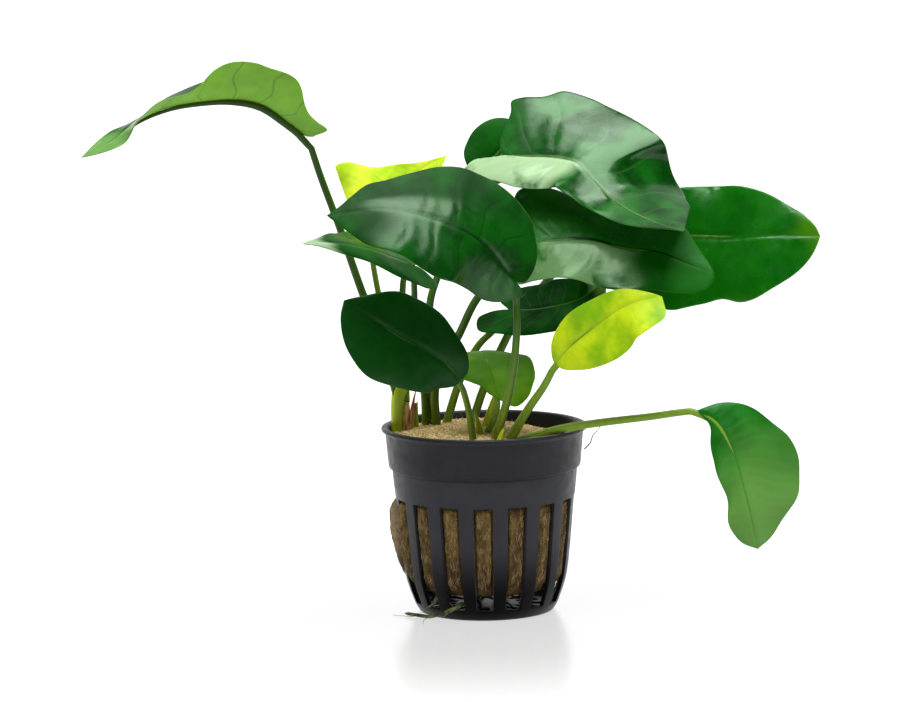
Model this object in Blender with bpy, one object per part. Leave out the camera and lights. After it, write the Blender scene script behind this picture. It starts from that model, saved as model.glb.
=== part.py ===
"""An anubias plant growing in a black net pot filled with rock wool.

Lengths below are in millimetres and angles in degrees; the scene is in metres. The origin is the centre of
the pot's base, +Z is up, +X is right and -Y is the front.
"""
import math

import bmesh
import bpy
import numpy as np

MM = 0.001
GAP = 0.3

# Net pot
POT_HEIGHT = 50.1
RIM_RADIUS = 27.5
WALL = 1.2
FLOOR = 1.6
POT_SEGMENTS = 48
SLOTS = 16
SLOT_PITCH = 360 / SLOTS
FIRST_SLOT = -91.5
SLOT_HALF_ANGLE = 6.5
SLOT_BOTTOM, SLOT_TOP = 3.0, 31.2
FLOOR_SLOT_INNER, FLOOR_SLOT_OUTER = 8.5, 14.5
# Outer wall below the rim, as (radius, height), from the collar down to the rounded base
OUTER_WALL = [
    (26.5, 48.4), (25.7, 39.7), (24.8, 38.7), (24.0, 31.2), (22.8, 18.5),
    (21.8, 10.5), (20.7, 6.5), (19.2, 2.4), (18.2, 0.7), (17.0, 0.0),
]

# Rock wool
# Heights of the plug's rows, with how far its pads stand out there as a share of their bulge
WOOL_ROWS = [
    (7.0, 0), (8.0, 0), (9.0, 0.2), (14.0, 0.6), (22.0, 1), (30.2, 0.4), (30.9, 0), (38.7, 0), (39.9, 0),
]
WOOL_EDGE_HEIGHT = 48.0
# How low the wool's edge sinks on the right, where the pot is narrower
WOOL_LOW_EDGE = 43.5
WOOL_TOP_RADIUS = 25.0
WOOL_DOME = 1.2
WOOL_SINK = 0.13
WOOL_EDGE_DROP = 0.5
PAD_INSET, PAD_CORNER, PAD_CORNER_SWELL = 0.8, 0.6, 0.6
PAD_BULGE = -0.2
LEFT_PAD_BULGE = 3.0

# Plant
BLADE_THICKNESS = 0.8
BLADE_ROWS, BLADE_COLUMNS = 11, 3
# Powers that crowd a blade's rows towards its base and sweep its cross lines towards its tip
ROW_CROWDING, VEIN_SWEEP = 1.25, 1.35
PETIOLE_END_GAP = 1.2
PETIOLE_POINTS = 10
CROWN_RADIUS = 2.3
CROWN_CENTRE = (-22, 4.5)
CROWN_TOP = 59.0

# Each leaf: the midrib's route from base to tip, the way its upper side faces there, the outline of the left
# and right halves as (distance along the midrib, distance out), how far each half folds up from the midrib
# and curls towards its margin, and the petiole's route and radii from root to blade.
# A value that changes along the midrib is a list of (share of its length, value).
LEAVES = {
    "a": {
        "midrib": [(-46, 12, 127), (-51, 11, 131), (-58, 8, 136), (-66, 4, 138), (-74, 0, 138),
                   (-82, -5, 137), (-90, -8, 134), (-97, -11, 129), (-105, -14, 125)],
        "face": [(0, (0.1, -0.1, 1)), (0.74, (0.1, -0.1, 1)), (0.86, (0.1, -0.35, 0.9)),
                 (1, (0.15, -0.4, 0.9))],
        "left": {"outline": [(-1.5, 2.5), (-2.5, 6), (1, 6), (4.5, 6.5), (8, 8.5), (11, 11), (14, 13), (19.5, 13.5),
                             (23, 14.5), (27.5, 14.5), (30, 13.5), (32, 12), (34, 10), (36, 7), (39, 5),
                             (42, 5), (46, 6), (51, 6), (57, 5), (64, 3)],
                 "fold": [(0, 50), (0.45, 50), (0.62, 42), (0.76, 20), (0.86, 0), (1, 0)],
                 "curl": [(0, 20), (0.4, 10), (1, 0)]},
        "right": {"outline": [(-2, 3), (-2, 7), (4, 11), (12, 13), (22, 13), (32, 11), (42, 8), (52, 4),
                              (63, 3)],
                  "fold": [(0, 15), (0.35, 10), (0.6, -8), (0.76, -14), (0.86, 0), (1, 0)],
                  "curl": 8},
        "petiole": [(-23.5, 4, 59), (-27, 7, 72), (-32, 8, 85), (-38, 10, 103), (-43, 12, 117), (-46, 12, 127)],
        "radii": (1.2, 0.9),
    },
    "b": {
        "midrib": [(-30, 14, 100), (-28, 16, 106), (-23, 17, 111), (-16, 17, 117), (-9, 15, 121)],
        "face": [(0, (-0.3, -0.8, 0.5)), (1, (-0.2, -0.7, 0.7))],
        "left": {"outline": [(1, 3), (5, 7), (7, 12), (8.5, 17), (9, 18.5), (10.2, 17), (12.5, 13), (17, 8), (22, 3),
                             (28, 1)],
                 "fold": 8, "curl": -10},
        "right": {"outline": [(-1, 4), (4, 6), (9, 8), (20, 8), (28, 5)], "fold": 5, "curl": -10},
        "petiole": [(-22.3, 6.3, 59), (-26, 11, 75), (-29, 14, 91), (-30, 14, 100)],
        "radii": (1.0, 0.7),
    },
    "c": {
        "midrib": [(9, -28, 92), (6, -29.5, 96), (2.5, -31, 100.5), (-1.5, -32.5, 104.5), (-6.5, -34, 107.5),
                   (-13, -35, 110), (-21, -36, 112), (-30, -37, 112.5), (-40, -38, 111.5)],
        "face": [(0, (0.1, -0.8, 0.5)), (0.5, (0, -0.72, 0.69)), (1, (0, -0.66, 0.75))],
        "left": {"outline": [(-4, 0.5), (-3, 3.5), (0.5, 8), (4, 10.5), (9, 12), (15, 14), (24, 16.5),
                             (30, 15.5), (35, 14), (41, 13), (48, 11), (53, 6), (56, 2)],
                 "fold": 0, "curl": -8},
        "right": {"outline": [(-2, 2), (-2, 5), (-1, 8), (1.5, 11), (4, 13), (7, 15), (10, 16.5), (14.5, 18),
                              (20, 19.5), (25.5, 19.5), (31, 17.5), (36.5, 14), (41.5, 11), (46, 9.5),
                              (50, 6), (54, 2.5)],
                  "fold": 0, "curl": -8},
        "petiole": [(3, -14, 48), (6, -20, 59), (8, -24, 69), (9, -25, 80), (9, -24.5, 87), (9, -28, 92)],
        "radii": (1.2, 0.9),
    },
    "d": {
        "midrib": [(-18, -5, 94), (-24, -10, 97), (-30, -16, 100), (-37, -22, 102), (-43, -26, 103),
                   (-47, -28, 103)],
        "face": [(0, (0, -0.45, 0.9)), (1, (-0.1, -0.5, 0.85))],
        "left": {"outline": [(-4, 1), (-7, 4), (-2, 8), (6, 8), (15, 7), (24, 5), (32, 2)],
                 "fold": -12, "curl": -12},
        "right": {"outline": [(-3, 3), (-3, 8), (4, 13), (12, 14), (24, 8), (32, 3)], "fold": 0, "curl": -8},
        "petiole": [(-15.7, 11, 50), (-16, 10, 58), (-18, 4, 73), (-18, -1, 85), (-18, -5, 94)],
        "radii": (1.1, 0.8),
    },
    "e": {
        "midrib": [(-6, -26, 66), (-9, -28, 70), (-14, -30, 74), (-22, -33, 79), (-29, -35, 84),
                   (-36, -36, 89)],
        "face": [(0, (0, -0.85, 0.5)), (1, (-0.1, -0.7, 0.7))],
        "left": {"outline": [(0, 2), (2, 5), (6, 9), (13, 12), (20, 14), (26, 15), (32, 12), (38, 5)],
                 "fold": 4, "curl": -12},
        "right": {"outline": [(0, 3), (3, 6), (8, 9), (14, 12), (20, 13), (26, 12), (32, 8), (37, 3)],
                  "fold": 4, "curl": -12},
        "petiole": [(-3, -16, 49), (-4, -20, 57), (-6, -26, 66)],
        "radii": (1.0, 0.8),
    },
    "f": {
        "midrib": [(7, 8, 80), (13, 6, 80), (18, 4, 81), (25, 2, 83), (30, 0, 86), (33, 0, 89)],
        "face": [(0, (0, -0.7, 0.7)), (1, (0.1, -0.7, 0.7))],
        "left": {"outline": [(-3, 3), (0, 6), (4, 8), (10, 9), (17, 8), (24, 6), (29, 3)],
                 "fold": 6, "curl": -8},
        "right": {"outline": [(-5, 1), (-8, 3), (-7, 7), (0, 8), (8, 8), (15, 8), (21, 7), (26, 4)],
                  "fold": 0, "curl": -10},
        "petiole": [(-10, 14, 50), (-6, 13, 61), (-1, 12.5, 70), (3, 11.5, 74), (7, 8, 80)],
        "radii": (1.2, 0.8),
        "petiole_gap": 1.8,
    },
    "g": {
        "midrib": [(4, -14, 59), (3, -12, 62), (2, -8, 65.5), (1, -3, 68), (0, 2, 69), (-1, 7, 69)],
        "face": [(0, (0, -0.5, 0.86)), (1, (0, -0.1, 1))],
        "left": {"outline": [(2, 2), (5, 4), (8, 8), (12, 11), (17, 10), (22, 6)], "fold": 6, "curl": -16},
        "right": {"outline": [(-2, 2), (-3, 4), (-1, 8), (4, 11), (10, 12), (16, 11), (22, 6)],
                  "fold": 6, "curl": -16},
        "petiole": [(1, -7, 48), (3, -11, 54), (4, -14, 59)],
        "radii": (0.9, 0.7),
    },
    "h": {
        "midrib": [(6, 3, 122), (13, 0, 122), (21, -4, 122), (26, -8, 121), (29, -12, 118), (33, -16, 114),
                   (39, -22, 110), (46, -27, 107), (53, -31, 105)],
        "face": [(0, (0, -0.35, 0.94)), (0.4, (0.1, -0.4, 0.9)), (0.6, (0.5, -0.45, 0.75)),
                 (1, (0.5, -0.6, 0.6))],
        "left": {"outline": [(-2, 4.5), (-2, 10), (-2, 15.5), (-3, 19.5), (-0.5, 21), (5, 22), (9.5, 25),
                             (14.5, 24.5), (18.5, 23), (22.5, 22.5), (26, 23.5), (30.5, 25), (35.5, 25.5),
                             (41, 25), (47, 22.5), (53, 18), (57, 12), (60, 6)],
                 "fold": [(0, 28), (0.5, 15), (1, 0)], "curl": [(0, -8), (1, -20)]},
        "right": {"outline": [(-4, 1), (-8, 1.5), (-10, 5), (-6, 7), (0, 8), (6, 9.5), (15, 10), (24, 9.5),
                              (32, 8), (42, 8), (50, 5.5), (58, 1)],
                  "fold": [(0, -30), (0.45, -28), (0.7, -10), (1, -5)], "curl": -10},
        "petiole": [(-14.5, 14, 50), (-14, 11, 58), (-14, 6, 82), (-12, 6, 89), (-5, 7, 105), (1, 8, 115),
                    (5, 6.5, 120), (6, 3, 122)],
        "radii": (1.2, 0.8),
        "petiole_gap": 2.2,
    },
    "i": {
        "midrib": [(14, -8, 100), (21, -10, 101), (29, -12, 101), (38, -15, 99), (47, -18, 98), (55, -20, 95),
                   (61, -22, 93)],
        "face": [(0, (0, -0.66, 0.7)), (1, (0.1, -0.68, 0.7))],
        "left": {"outline": [(-2.5, 2), (-5.5, 7), (-7, 13.5), (-6, 18.5), (-1, 19), (4.5, 17.5), (9, 15),
                             (17, 13), (26.5, 12.5), (35.5, 11.5), (42, 7), (46, 4)],
                 "fold": 4, "curl": -6},
        "right": {"outline": [(-2, 1.5), (-5, 4.5), (-6, 8.5), (-4.5, 11.5), (0, 11), (6, 11), (15, 12),
                              (23.5, 12.5), (29, 12), (35.5, 11), (47.5, 7.5), (50.5, 4.5), (51, 2)],
                  "fold": -14, "curl": -6},
        "petiole": [(-12.8, 9.5, 49), (-12.8, 8, 60), (-6, 1, 75), (-1, -3, 85), (8, -4, 94), (11.5, -5.5, 97),
                    (14, -8, 100)],
        "radii": (1.2, 1.0),
    },
    "j": {
        "midrib": [(19, -20, 69), (23, -22, 74), (30, -25, 80), (37, -28, 85), (42, -30, 87), (47, -31, 88)],
        "face": [(0, (-0.1, -0.85, 0.5)), (1, (0, -0.8, 0.6))],
        "left": {"outline": [(1, 2), (4, 5), (9, 7), (17, 7), (26, 5), (33, 2)], "fold": 8, "curl": -10},
        "right": {"outline": [(1, 3), (5, 7), (11, 10), (19, 12), (27, 11), (33, 9), (37, 6)],
                  "fold": 8, "curl": -10},
        "petiole": [(7, -12, 48), (12, -16, 57), (16, -18, 63), (19, -20, 69)],
        "radii": (1.3, 0.9),
    },
    "k": {
        "midrib": [(36, 14, 96), (44, 13, 98), (53, 10, 99), (64, 6, 99), (77, 1, 100), (90, -4, 100)],
        "face": [(0, (0, -0.93, 0.35)), (1, (0, -0.96, 0.25))],
        "left": {"outline": [(4, 5.5), (9, 10.5), (14.5, 12.5), (20.5, 13.5), (27, 14), (35, 13.5), (41.5, 11.5),
                             (48, 8), (52.5, 5.5), (56, 2.5)],
                 "fold": 4, "curl": -8},
        "right": {"outline": [(0, 4.5), (3.5, 14), (12, 19.5), (18.5, 20.5), (26.5, 18.5), (30.5, 17), (35, 18),
                              (40, 17), (48, 13), (52.5, 9.5), (55.5, 5.5), (57, 2)],
                  "fold": 4, "curl": -8},
        "petiole": [(-3, 12.5, 50), (0, 12, 58), (5, 12, 69), (9, 13, 76), (21, 15, 90), (30, 15, 94.5),
                    (36, 14, 96)],
        "radii": (1.2, 0.9),
    },
    "l": {
        "midrib": [(56, -26, 57), (61, -27, 54), (65, -30, 47), (67, -33, 40), (69, -36, 32), (71, -38, 22)],
        "face": [(0, (0.3, -0.85, 0.45)), (1, (0.4, -0.85, 0.1))],
        "left": {"outline": [(2, 3), (5, 7), (9, 13), (15, 17), (22, 18), (28, 16), (34, 11), (39, 5)],
                 "fold": 4, "curl": -14},
        "right": {"outline": [(3, 1), (9, 4), (17, 6), (26, 5), (34, 6), (39, 4)], "fold": -20, "curl": -20},
        "petiole": [(10, -12.5, 49), (20, -15.5, 51), (31, -18, 53), (44, -22, 55), (51, -24.5, 56.3),
                    (56, -26, 57)],
        "radii": (1.2, 0.9),
    },
    "m": {
        "midrib": [(0, 16, 115), (3, 18, 119), (7, 20, 123), (12, 22, 124), (18, 23, 124)],
        "face": [(0, (0, -0.88, 0.45)), (1, (0, -0.85, 0.5))],
        "left": {"outline": [(-0.5, 2), (1, 5), (3.5, 7.5), (6, 8.5), (9, 9), (12, 8.5), (15, 7), (18, 4.5)],
                 "fold": 8, "curl": -12},
        "right": {"outline": [(-1, 2.5), (2.5, 6.5), (8, 7.5), (14.5, 7), (21, 3)], "fold": 8, "curl": -12},
        "petiole": [(-20.8, 4, 59), (-21, 9, 72), (-21, 13, 88), (-17, 15, 99), (-9, 16, 108), (0, 16, 115)],
        "radii": (1.0, 0.7),
    },
}

# Short stems that end low down, as (route, radius at the root, radius at the top)
SHOOTS = {
    "shoot_left": ([(-18.5, 8, 50), (-18.2, 8, 53), (-17.8, 8, 55.5)], 1.0, 0.3),
    "shoot_middle": ([(-1, -9, 49), (-1.6, -9, 52), (-2.5, -9, 55.5)], 1.1, 0.4),
    "shoot_right": ([(3.5, -18.5, 48), (4.5, -18.5, 50), (5.2, -18.5, 52)], 0.9, 0.4),
    "short_stem": ([(0, 4, 49), (2, 3, 54), (4, 2, 60)], 1.0, 0.8),
}

# Loose root ends that leave the slots near the floor
ROOTS = {
    "root_long": ([(-6.5, -16.2, 4.6), (-8, -19.2, 4.2), (-12, -18.4, 2.4), (-15, -15, 1.0),
                   (-18.5, -11, 0.7), (-22, -8, 0.7)], 0.55, 0.45),
    "root_short": ([(-12.4, -12.4, 4.9), (-14.6, -14.4, 4.1), (-17, -14.2, 2.2)], 0.4, 0.3),
}

DARK_GREEN = (0.02, 0.11, 0.02)
PALE_GREEN = (0.22, 0.42, 0.03)
PALE_BLADES = ("b", "g", "j")


def clear_scene():
    for obj in list(bpy.data.objects):
        bpy.data.objects.remove(obj, do_unlink=True)


def material(name, colour, roughness):
    made = bpy.data.materials.new(name)
    made.use_nodes = True
    shader = made.node_tree.nodes["Principled BSDF"]
    shader.inputs["Base Color"].default_value = (*colour, 1)
    shader.inputs["Roughness"].default_value = roughness
    shader.inputs["Metallic"].default_value = 0
    return made


def add_object(name, data, look):
    data.materials.append(look)
    obj = bpy.data.objects.new(name, data)
    bpy.context.collection.objects.link(obj)
    return obj


def mesh_from(name, points, faces):
    """A mesh in metres from points in millimetres, with its faces pointing out."""
    mesh = bpy.data.meshes.new(name)
    mesh.from_pydata([tuple(c * MM for c in point) for point in points], [], faces)
    bm = bmesh.new()
    bm.from_mesh(mesh)
    bmesh.ops.recalc_face_normals(bm, faces=bm.faces)
    bm.to_mesh(mesh)
    bm.free()
    return mesh


def polar(radius, angle, height):
    turn = math.radians(angle)
    return radius * math.cos(turn), radius * math.sin(turn), height


# Curves and keyed values

def smooth(points, per_span=12):
    """A centripetal Catmull-Rom curve through the points."""
    knots = np.array(points, float)
    knots = np.vstack([2 * knots[0] - knots[1], knots, 2 * knots[-1] - knots[-2]])
    curve = []
    for p0, p1, p2, p3 in zip(knots, knots[1:], knots[2:], knots[3:]):
        t1 = np.linalg.norm(p1 - p0) ** 0.5
        t2 = t1 + np.linalg.norm(p2 - p1) ** 0.5
        t3 = t2 + np.linalg.norm(p3 - p2) ** 0.5
        for t in np.linspace(t1, t2, per_span, endpoint=False):
            a1 = ((t1 - t) * p0 + t * p1) / t1
            a2 = ((t2 - t) * p1 + (t - t1) * p2) / (t2 - t1)
            a3 = ((t3 - t) * p2 + (t - t2) * p3) / (t3 - t2)
            b1 = ((t2 - t) * a1 + t * a2) / t2
            b2 = ((t3 - t) * a2 + (t - t1) * a3) / (t3 - t1)
            curve.append(((t2 - t) * b1 + (t - t1) * b2) / (t2 - t1))
    curve.append(knots[-2])
    return np.array(curve)


def distances(curve):
    return np.r_[0, np.cumsum(np.linalg.norm(np.diff(curve, axis=0), axis=1))]


def at_distance(curve, distance):
    run = distances(curve)
    return np.array([np.interp(distance, run, curve[:, axis]) for axis in range(curve.shape[1])])


def keyed(value, share):
    """The value itself, or the value that its (share, value) keys ease to at this share."""
    if not isinstance(value, list):
        return value
    for (start, first), (end, second) in zip(value, value[1:]):
        if share <= end:
            t = (share - start) / (end - start)
            t = t * t * (3 - 2 * t)
            return (1 - t) * np.array(first) + t * np.array(second)
    return np.array(value[-1][1])


# Leaf blades

class Blade:
    """A leaf blade's middle surface, worked out from its midrib and the flat outline of each half."""

    def __init__(self, leaf):
        self.midrib = smooth(leaf["midrib"])
        self.length = distances(self.midrib)[-1]
        self.face = leaf["face"]
        self.halves = {1: leaf["left"], -1: leaf["right"]}

    def axis(self, along):
        """The midrib's point there, and the directions to its left and out of its upper side."""
        reach = 1.5
        middle = min(max(along, reach), self.length - reach)
        forward = at_distance(self.midrib, middle + reach) - at_distance(self.midrib, middle - reach)
        forward /= np.linalg.norm(forward)
        on_midrib = min(max(along, 0), self.length)
        point = at_distance(self.midrib, on_midrib) + (along - on_midrib) * forward
        left = np.cross(keyed(self.face, on_midrib / self.length), forward)
        left /= np.linalg.norm(left)
        return point, left, np.cross(forward, left)

    def point(self, along, out, side, share):
        """A point of one half: side is 1 on the left and -1 on the right, share runs from midrib to margin."""
        start, left, up = self.axis(along)
        half = self.halves[side]
        place = min(max(along / self.length, 0), 1)
        fold = math.radians(keyed(half["fold"], place))
        curl = math.radians(keyed(half["curl"], place)) * share
        chord = out * (math.sin(curl / 2) / (curl / 2) if abs(curl) > 1e-6 else 1)
        slope = fold + curl / 2
        return start + side * chord * math.cos(slope) * left + chord * math.sin(slope) * up

    def grid(self, rows, columns):
        """Points [row][column] from base to tip and from the right margin to the left one."""
        shares = np.linspace(0, 1, rows + 1)
        margins = {}
        for side, half in self.halves.items():
            curve = smooth([(0, 0)] + half["outline"] + [(self.length, 0)])
            margins[side] = [at_distance(curve, share * distances(curve)[-1]) for share in shares]
        points = np.zeros((rows + 1, 2 * columns + 1, 3))
        for row, share in enumerate(shares):
            middle = share ** ROW_CROWDING * self.length
            for column in range(-columns, columns + 1):
                side = 1 if column >= 0 else -1
                outward = abs(column) / columns
                edge_along, edge_out = margins[side][row]
                along = middle + (edge_along - middle) * outward ** VEIN_SWEEP
                points[row, column + columns] = self.point(along, edge_out * outward, side, outward)
        return points


def blade_mesh(name, leaf):
    """A closed thin blade: two skins that meet at the margin, the base and the tip."""
    grid = Blade(leaf).grid(BLADE_ROWS, BLADE_COLUMNS)
    along = np.gradient(grid, axis=0)
    across = np.gradient(grid, axis=1)
    normal = np.cross(across, along)
    normal /= np.maximum(np.linalg.norm(normal, axis=2, keepdims=True), 1e-9)
    rows, columns = BLADE_ROWS, 2 * BLADE_COLUMNS
    points = []
    index = {}

    def vertex(row, column, skin):
        if row in (0, rows):
            key = (row, 0, 0)
        elif column in (0, columns):
            key = (row, column, 0)
        else:
            key = (row, column, skin)
        if key not in index:
            index[key] = len(points)
            points.append(grid[row, column] + key[2] * BLADE_THICKNESS / 2 * normal[row, column])
        return index[key]

    faces = []
    for skin in (1, -1):
        for row in range(rows):
            for column in range(columns):
                corners = [vertex(row, column, skin), vertex(row, column + 1, skin),
                           vertex(row + 1, column + 1, skin), vertex(row + 1, column, skin)]
                ring = list(dict.fromkeys(corners))
                faces.append(ring if skin == 1 else ring[::-1])
    mesh = mesh_from(name, points, faces)
    mesh.shade_smooth()
    return mesh


# Petioles, shoots and roots

def tube(name, route, radii, look, points=PETIOLE_POINTS):
    """A tapering round stem along a smooth curve through the route."""
    path = smooth(route)
    run = distances(path)[-1]
    data = bpy.data.curves.new(name, "CURVE")
    data.dimensions = "3D"
    data.bevel_depth = MM
    data.bevel_resolution = 1
    data.use_fill_caps = True
    spline = data.splines.new("POLY")
    spline.points.add(points - 1)
    for number, share in enumerate(np.linspace(0, 1, points)):
        place = at_distance(path, share * run) * MM
        spline.points[number].co = (*place, 1)
        spline.points[number].radius = radii[0] + share * (radii[1] - radii[0])
    return add_object(name, data, look)


def wool_top(x, y):
    """Height of the wool's gently domed top, which sinks on the right."""
    dome = WOOL_DOME * (1 - (x * x + y * y) / WOOL_TOP_RADIUS ** 2)
    return WOOL_EDGE_HEIGHT + dome - WOOL_SINK * max(x, 0)


def rooted(route, radius):
    """The route with its first point moved to stand just clear of the wool's top."""
    first, second = np.array(route[0], float), np.array(route[1], float)
    leg = second - first
    lean = np.hypot(leg[0], leg[1]) / np.linalg.norm(leg)
    first[2] = wool_top(first[0], first[1]) + GAP + radius * lean
    return [tuple(first)] + list(route[1:])


def petiole_route(leaf):
    """From the wool or the crown to just short of the blade."""
    route = leaf["petiole"]
    radius = leaf["radii"][0]
    if route[0][2] < CROWN_TOP:
        route = rooted(route, radius)
    else:
        route = [(route[0][0], route[0][1], CROWN_TOP + GAP + 0.3)] + route[1:]
    path = smooth(route)
    end = at_distance(path, distances(path)[-1] - leaf.get("petiole_gap", PETIOLE_END_GAP))
    return route[:-1] + [tuple(end)]


def crown(look):
    """The thick stem on the left that three petioles rise from."""
    x, y = CROWN_CENTRE
    foot = wool_top(x, y) + GAP
    tube("crown", [(x, y, foot), (x - 0.2, y, (foot + CROWN_TOP) / 2), (x, y, CROWN_TOP)],
         (CROWN_RADIUS * 1.1, CROWN_RADIUS), look, points=4)


# Net pot

def pot_profile():
    """The pot's section from the floor's centre up the inside, over the rim and down the outside."""
    inner = [(radius - WALL, height) for radius, height in OUTER_WALL if height > FLOOR]
    inside = [(0, FLOOR), (FLOOR_SLOT_OUTER + 1, FLOOR)] + inner[::-1]
    rim = [
        (RIM_RADIUS - 1.7, POT_HEIGHT - 0.4), (RIM_RADIUS - 1.3, POT_HEIGHT), (RIM_RADIUS - 0.4, POT_HEIGHT),
        (RIM_RADIUS, POT_HEIGHT - 0.4), (RIM_RADIUS, POT_HEIGHT - 0.8), (RIM_RADIUS - 0.4, POT_HEIGHT - 1.15),
    ]
    return inside + rim + OUTER_WALL + [(0, 0)]


def wedge(angle, inner, outer, bottom, top):
    """Corners and faces of a block that spans one slot's angle."""
    corners = [
        polar(radius, angle + side * SLOT_HALF_ANGLE, height)
        for height in (bottom, top) for radius in (inner, outer) for side in (-1, 1)
    ]
    faces = [(0, 1, 3, 2), (4, 6, 7, 5), (0, 4, 5, 1), (2, 3, 7, 6), (0, 2, 6, 4), (1, 5, 7, 3)]
    return corners, faces


def slot_cutter():
    points = []
    faces = []
    for number in range(SLOTS):
        angle = FIRST_SLOT + number * SLOT_PITCH
        for block in ((FLOOR_SLOT_OUTER + 0.6, RIM_RADIUS + 3, SLOT_BOTTOM, SLOT_TOP),
                      (FLOOR_SLOT_INNER, FLOOR_SLOT_OUTER, -1, FLOOR + 0.4)):
            corners, sides = wedge(angle, *block)
            faces += [[len(points) + corner for corner in side] for side in sides]
            points += corners
    cutter = bpy.data.objects.new("slot_cutter", mesh_from("slot_cutter", points, faces))
    bpy.context.collection.objects.link(cutter)
    cutter.hide_render = True
    cutter.display_type = "WIRE"
    return cutter


def net_pot(look):
    profile = pot_profile()
    mesh = bpy.data.meshes.new("net_pot")
    mesh.from_pydata([(radius * MM, 0, height * MM) for radius, height in profile],
                     [(number, number + 1) for number in range(len(profile) - 1)], [])
    pot = add_object("net_pot", mesh, look)
    turn = pot.modifiers.new("turn", "SCREW")
    turn.steps = turn.render_steps = POT_SEGMENTS
    turn.use_merge_vertices = True
    turn.merge_threshold = 0.00001
    cut = pot.modifiers.new("slots", "BOOLEAN")
    cut.object = slot_cutter()
    cut.operation = "DIFFERENCE"
    cut.solver = "EXACT"


# Rock wool

def wall_radius(height, inset=0):
    """Radius of the pot's outer wall at this height, less an inset."""
    radii, heights = zip(*OUTER_WALL[::-1])
    return float(np.interp(height, heights, radii)) - inset


def pad_bulge(angle):
    """How far the wool stands out of the slot there: the left side's slots bulge most."""
    leftward = max(0.0, -math.cos(math.radians(angle)))
    return PAD_BULGE + LEFT_PAD_BULGE * leftward ** 10


def rock_wool(look):
    """A plug that follows the pot's inside and fills its slots, with a domed top."""
    pad_half = SLOT_HALF_ANGLE - PAD_INSET
    corner = pad_half - PAD_CORNER
    columns = []
    for number in range(SLOTS):
        centre = FIRST_SLOT + number * SLOT_PITCH
        columns += [(centre - pad_half, 0), (centre - corner, PAD_CORNER_SWELL), (centre, 1),
                    (centre + corner, PAD_CORNER_SWELL), (centre + pad_half, 0)]
    points = []
    for height, pad in WOOL_ROWS:
        for angle, swell in columns:
            inside = wall_radius(height, WALL + GAP)
            outside = wall_radius(height) + pad_bulge(angle) * swell * pad
            radius = outside if pad and swell else inside
            points.append(polar(radius, angle, height))
    for share in (1, 0.5):
        for angle, _ in columns:
            radius = wall_radius(WOOL_LOW_EDGE, WALL + GAP) * share
            x, y, _ = polar(radius, angle, 0)
            points.append((x, y, wool_top(x, y) - (WOOL_EDGE_DROP if share == 1 else 0)))
    count = len(columns)
    faces = []
    for row in range(len(WOOL_ROWS) + 1):
        for column in range(count):
            after = (column + 1) % count
            faces.append((row * count + column, row * count + after,
                          (row + 1) * count + after, (row + 1) * count + column))
    faces.append(tuple(range(count))[::-1])
    top = len(points)
    points.append((0, 0, wool_top(0, 0)))
    last = (len(WOOL_ROWS) + 1) * count
    faces += [(last + column, last + (column + 1) % count, top) for column in range(count)]
    mesh = mesh_from("rock_wool", points, faces)
    mesh.shade_smooth()
    add_object("rock_wool", mesh, look)


def build():
    clear_scene()
    plastic = material("pot_plastic", (0.02, 0.022, 0.026), 0.4)
    wool = material("rock_wool", (0.42, 0.28, 0.1), 0.95)
    dark = material("leaf_dark", DARK_GREEN, 0.35)
    pale = material("leaf_pale", PALE_GREEN, 0.4)
    stem = material("petiole", (0.09, 0.22, 0.03), 0.45)
    root = material("root", (0.1, 0.12, 0.03), 0.7)
    net_pot(plastic)
    rock_wool(wool)
    crown(pale)
    for name, leaf in LEAVES.items():
        add_object("leaf_" + name, blade_mesh("leaf_" + name, leaf), pale if name in PALE_BLADES else dark)
        tube("petiole_" + name, petiole_route(leaf), leaf["radii"], stem)
    for name, (route, foot, top) in SHOOTS.items():
        tube(name, rooted(route, foot), (foot, top), pale, points=4)
    for name, (route, first, last) in ROOTS.items():
        tube(name, route, (first, last), root, points=8)


build()
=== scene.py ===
"""The looks of an anubias plant in a net pot filled with rock wool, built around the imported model.

Lengths are in millimetres and angles in degrees, as in the part's source; the scene itself is in metres.
"""
import math

import bmesh
import bpy
import numpy as np
from mathutils import Matrix, Vector, noise


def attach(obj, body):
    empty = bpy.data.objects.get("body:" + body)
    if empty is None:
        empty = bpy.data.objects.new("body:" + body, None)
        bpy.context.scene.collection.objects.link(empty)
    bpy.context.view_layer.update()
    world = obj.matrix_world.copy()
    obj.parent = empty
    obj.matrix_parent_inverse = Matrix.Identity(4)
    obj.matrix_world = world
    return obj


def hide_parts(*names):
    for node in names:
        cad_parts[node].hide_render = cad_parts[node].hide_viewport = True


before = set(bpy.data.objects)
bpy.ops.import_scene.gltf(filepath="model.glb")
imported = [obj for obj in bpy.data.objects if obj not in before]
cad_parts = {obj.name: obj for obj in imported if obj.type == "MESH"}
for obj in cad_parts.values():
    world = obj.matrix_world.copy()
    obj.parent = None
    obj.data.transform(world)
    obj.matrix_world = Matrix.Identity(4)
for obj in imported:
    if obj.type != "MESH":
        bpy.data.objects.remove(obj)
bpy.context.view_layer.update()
rng = np.random.default_rng(11)

MM = 0.001
# A direction that no path starts along, and what counts as one point in the pot's mesh
TUBE_SIDE = (0.3, 0.2, 0.93)
MERGE_DISTANCE = 0.001

# Camera and light
CAMERA_PLACE = (0, -1480, 280)
CAMERA_YAW, CAMERA_PITCH, CAMERA_ROLL = 0.34, -8.07, 0.95
CAMERA_LENS, CAMERA_SENSOR = 224, 36
CLIP_START, CLIP_END = 0.05, 20
WORLD_LIGHT = 0.03
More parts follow.
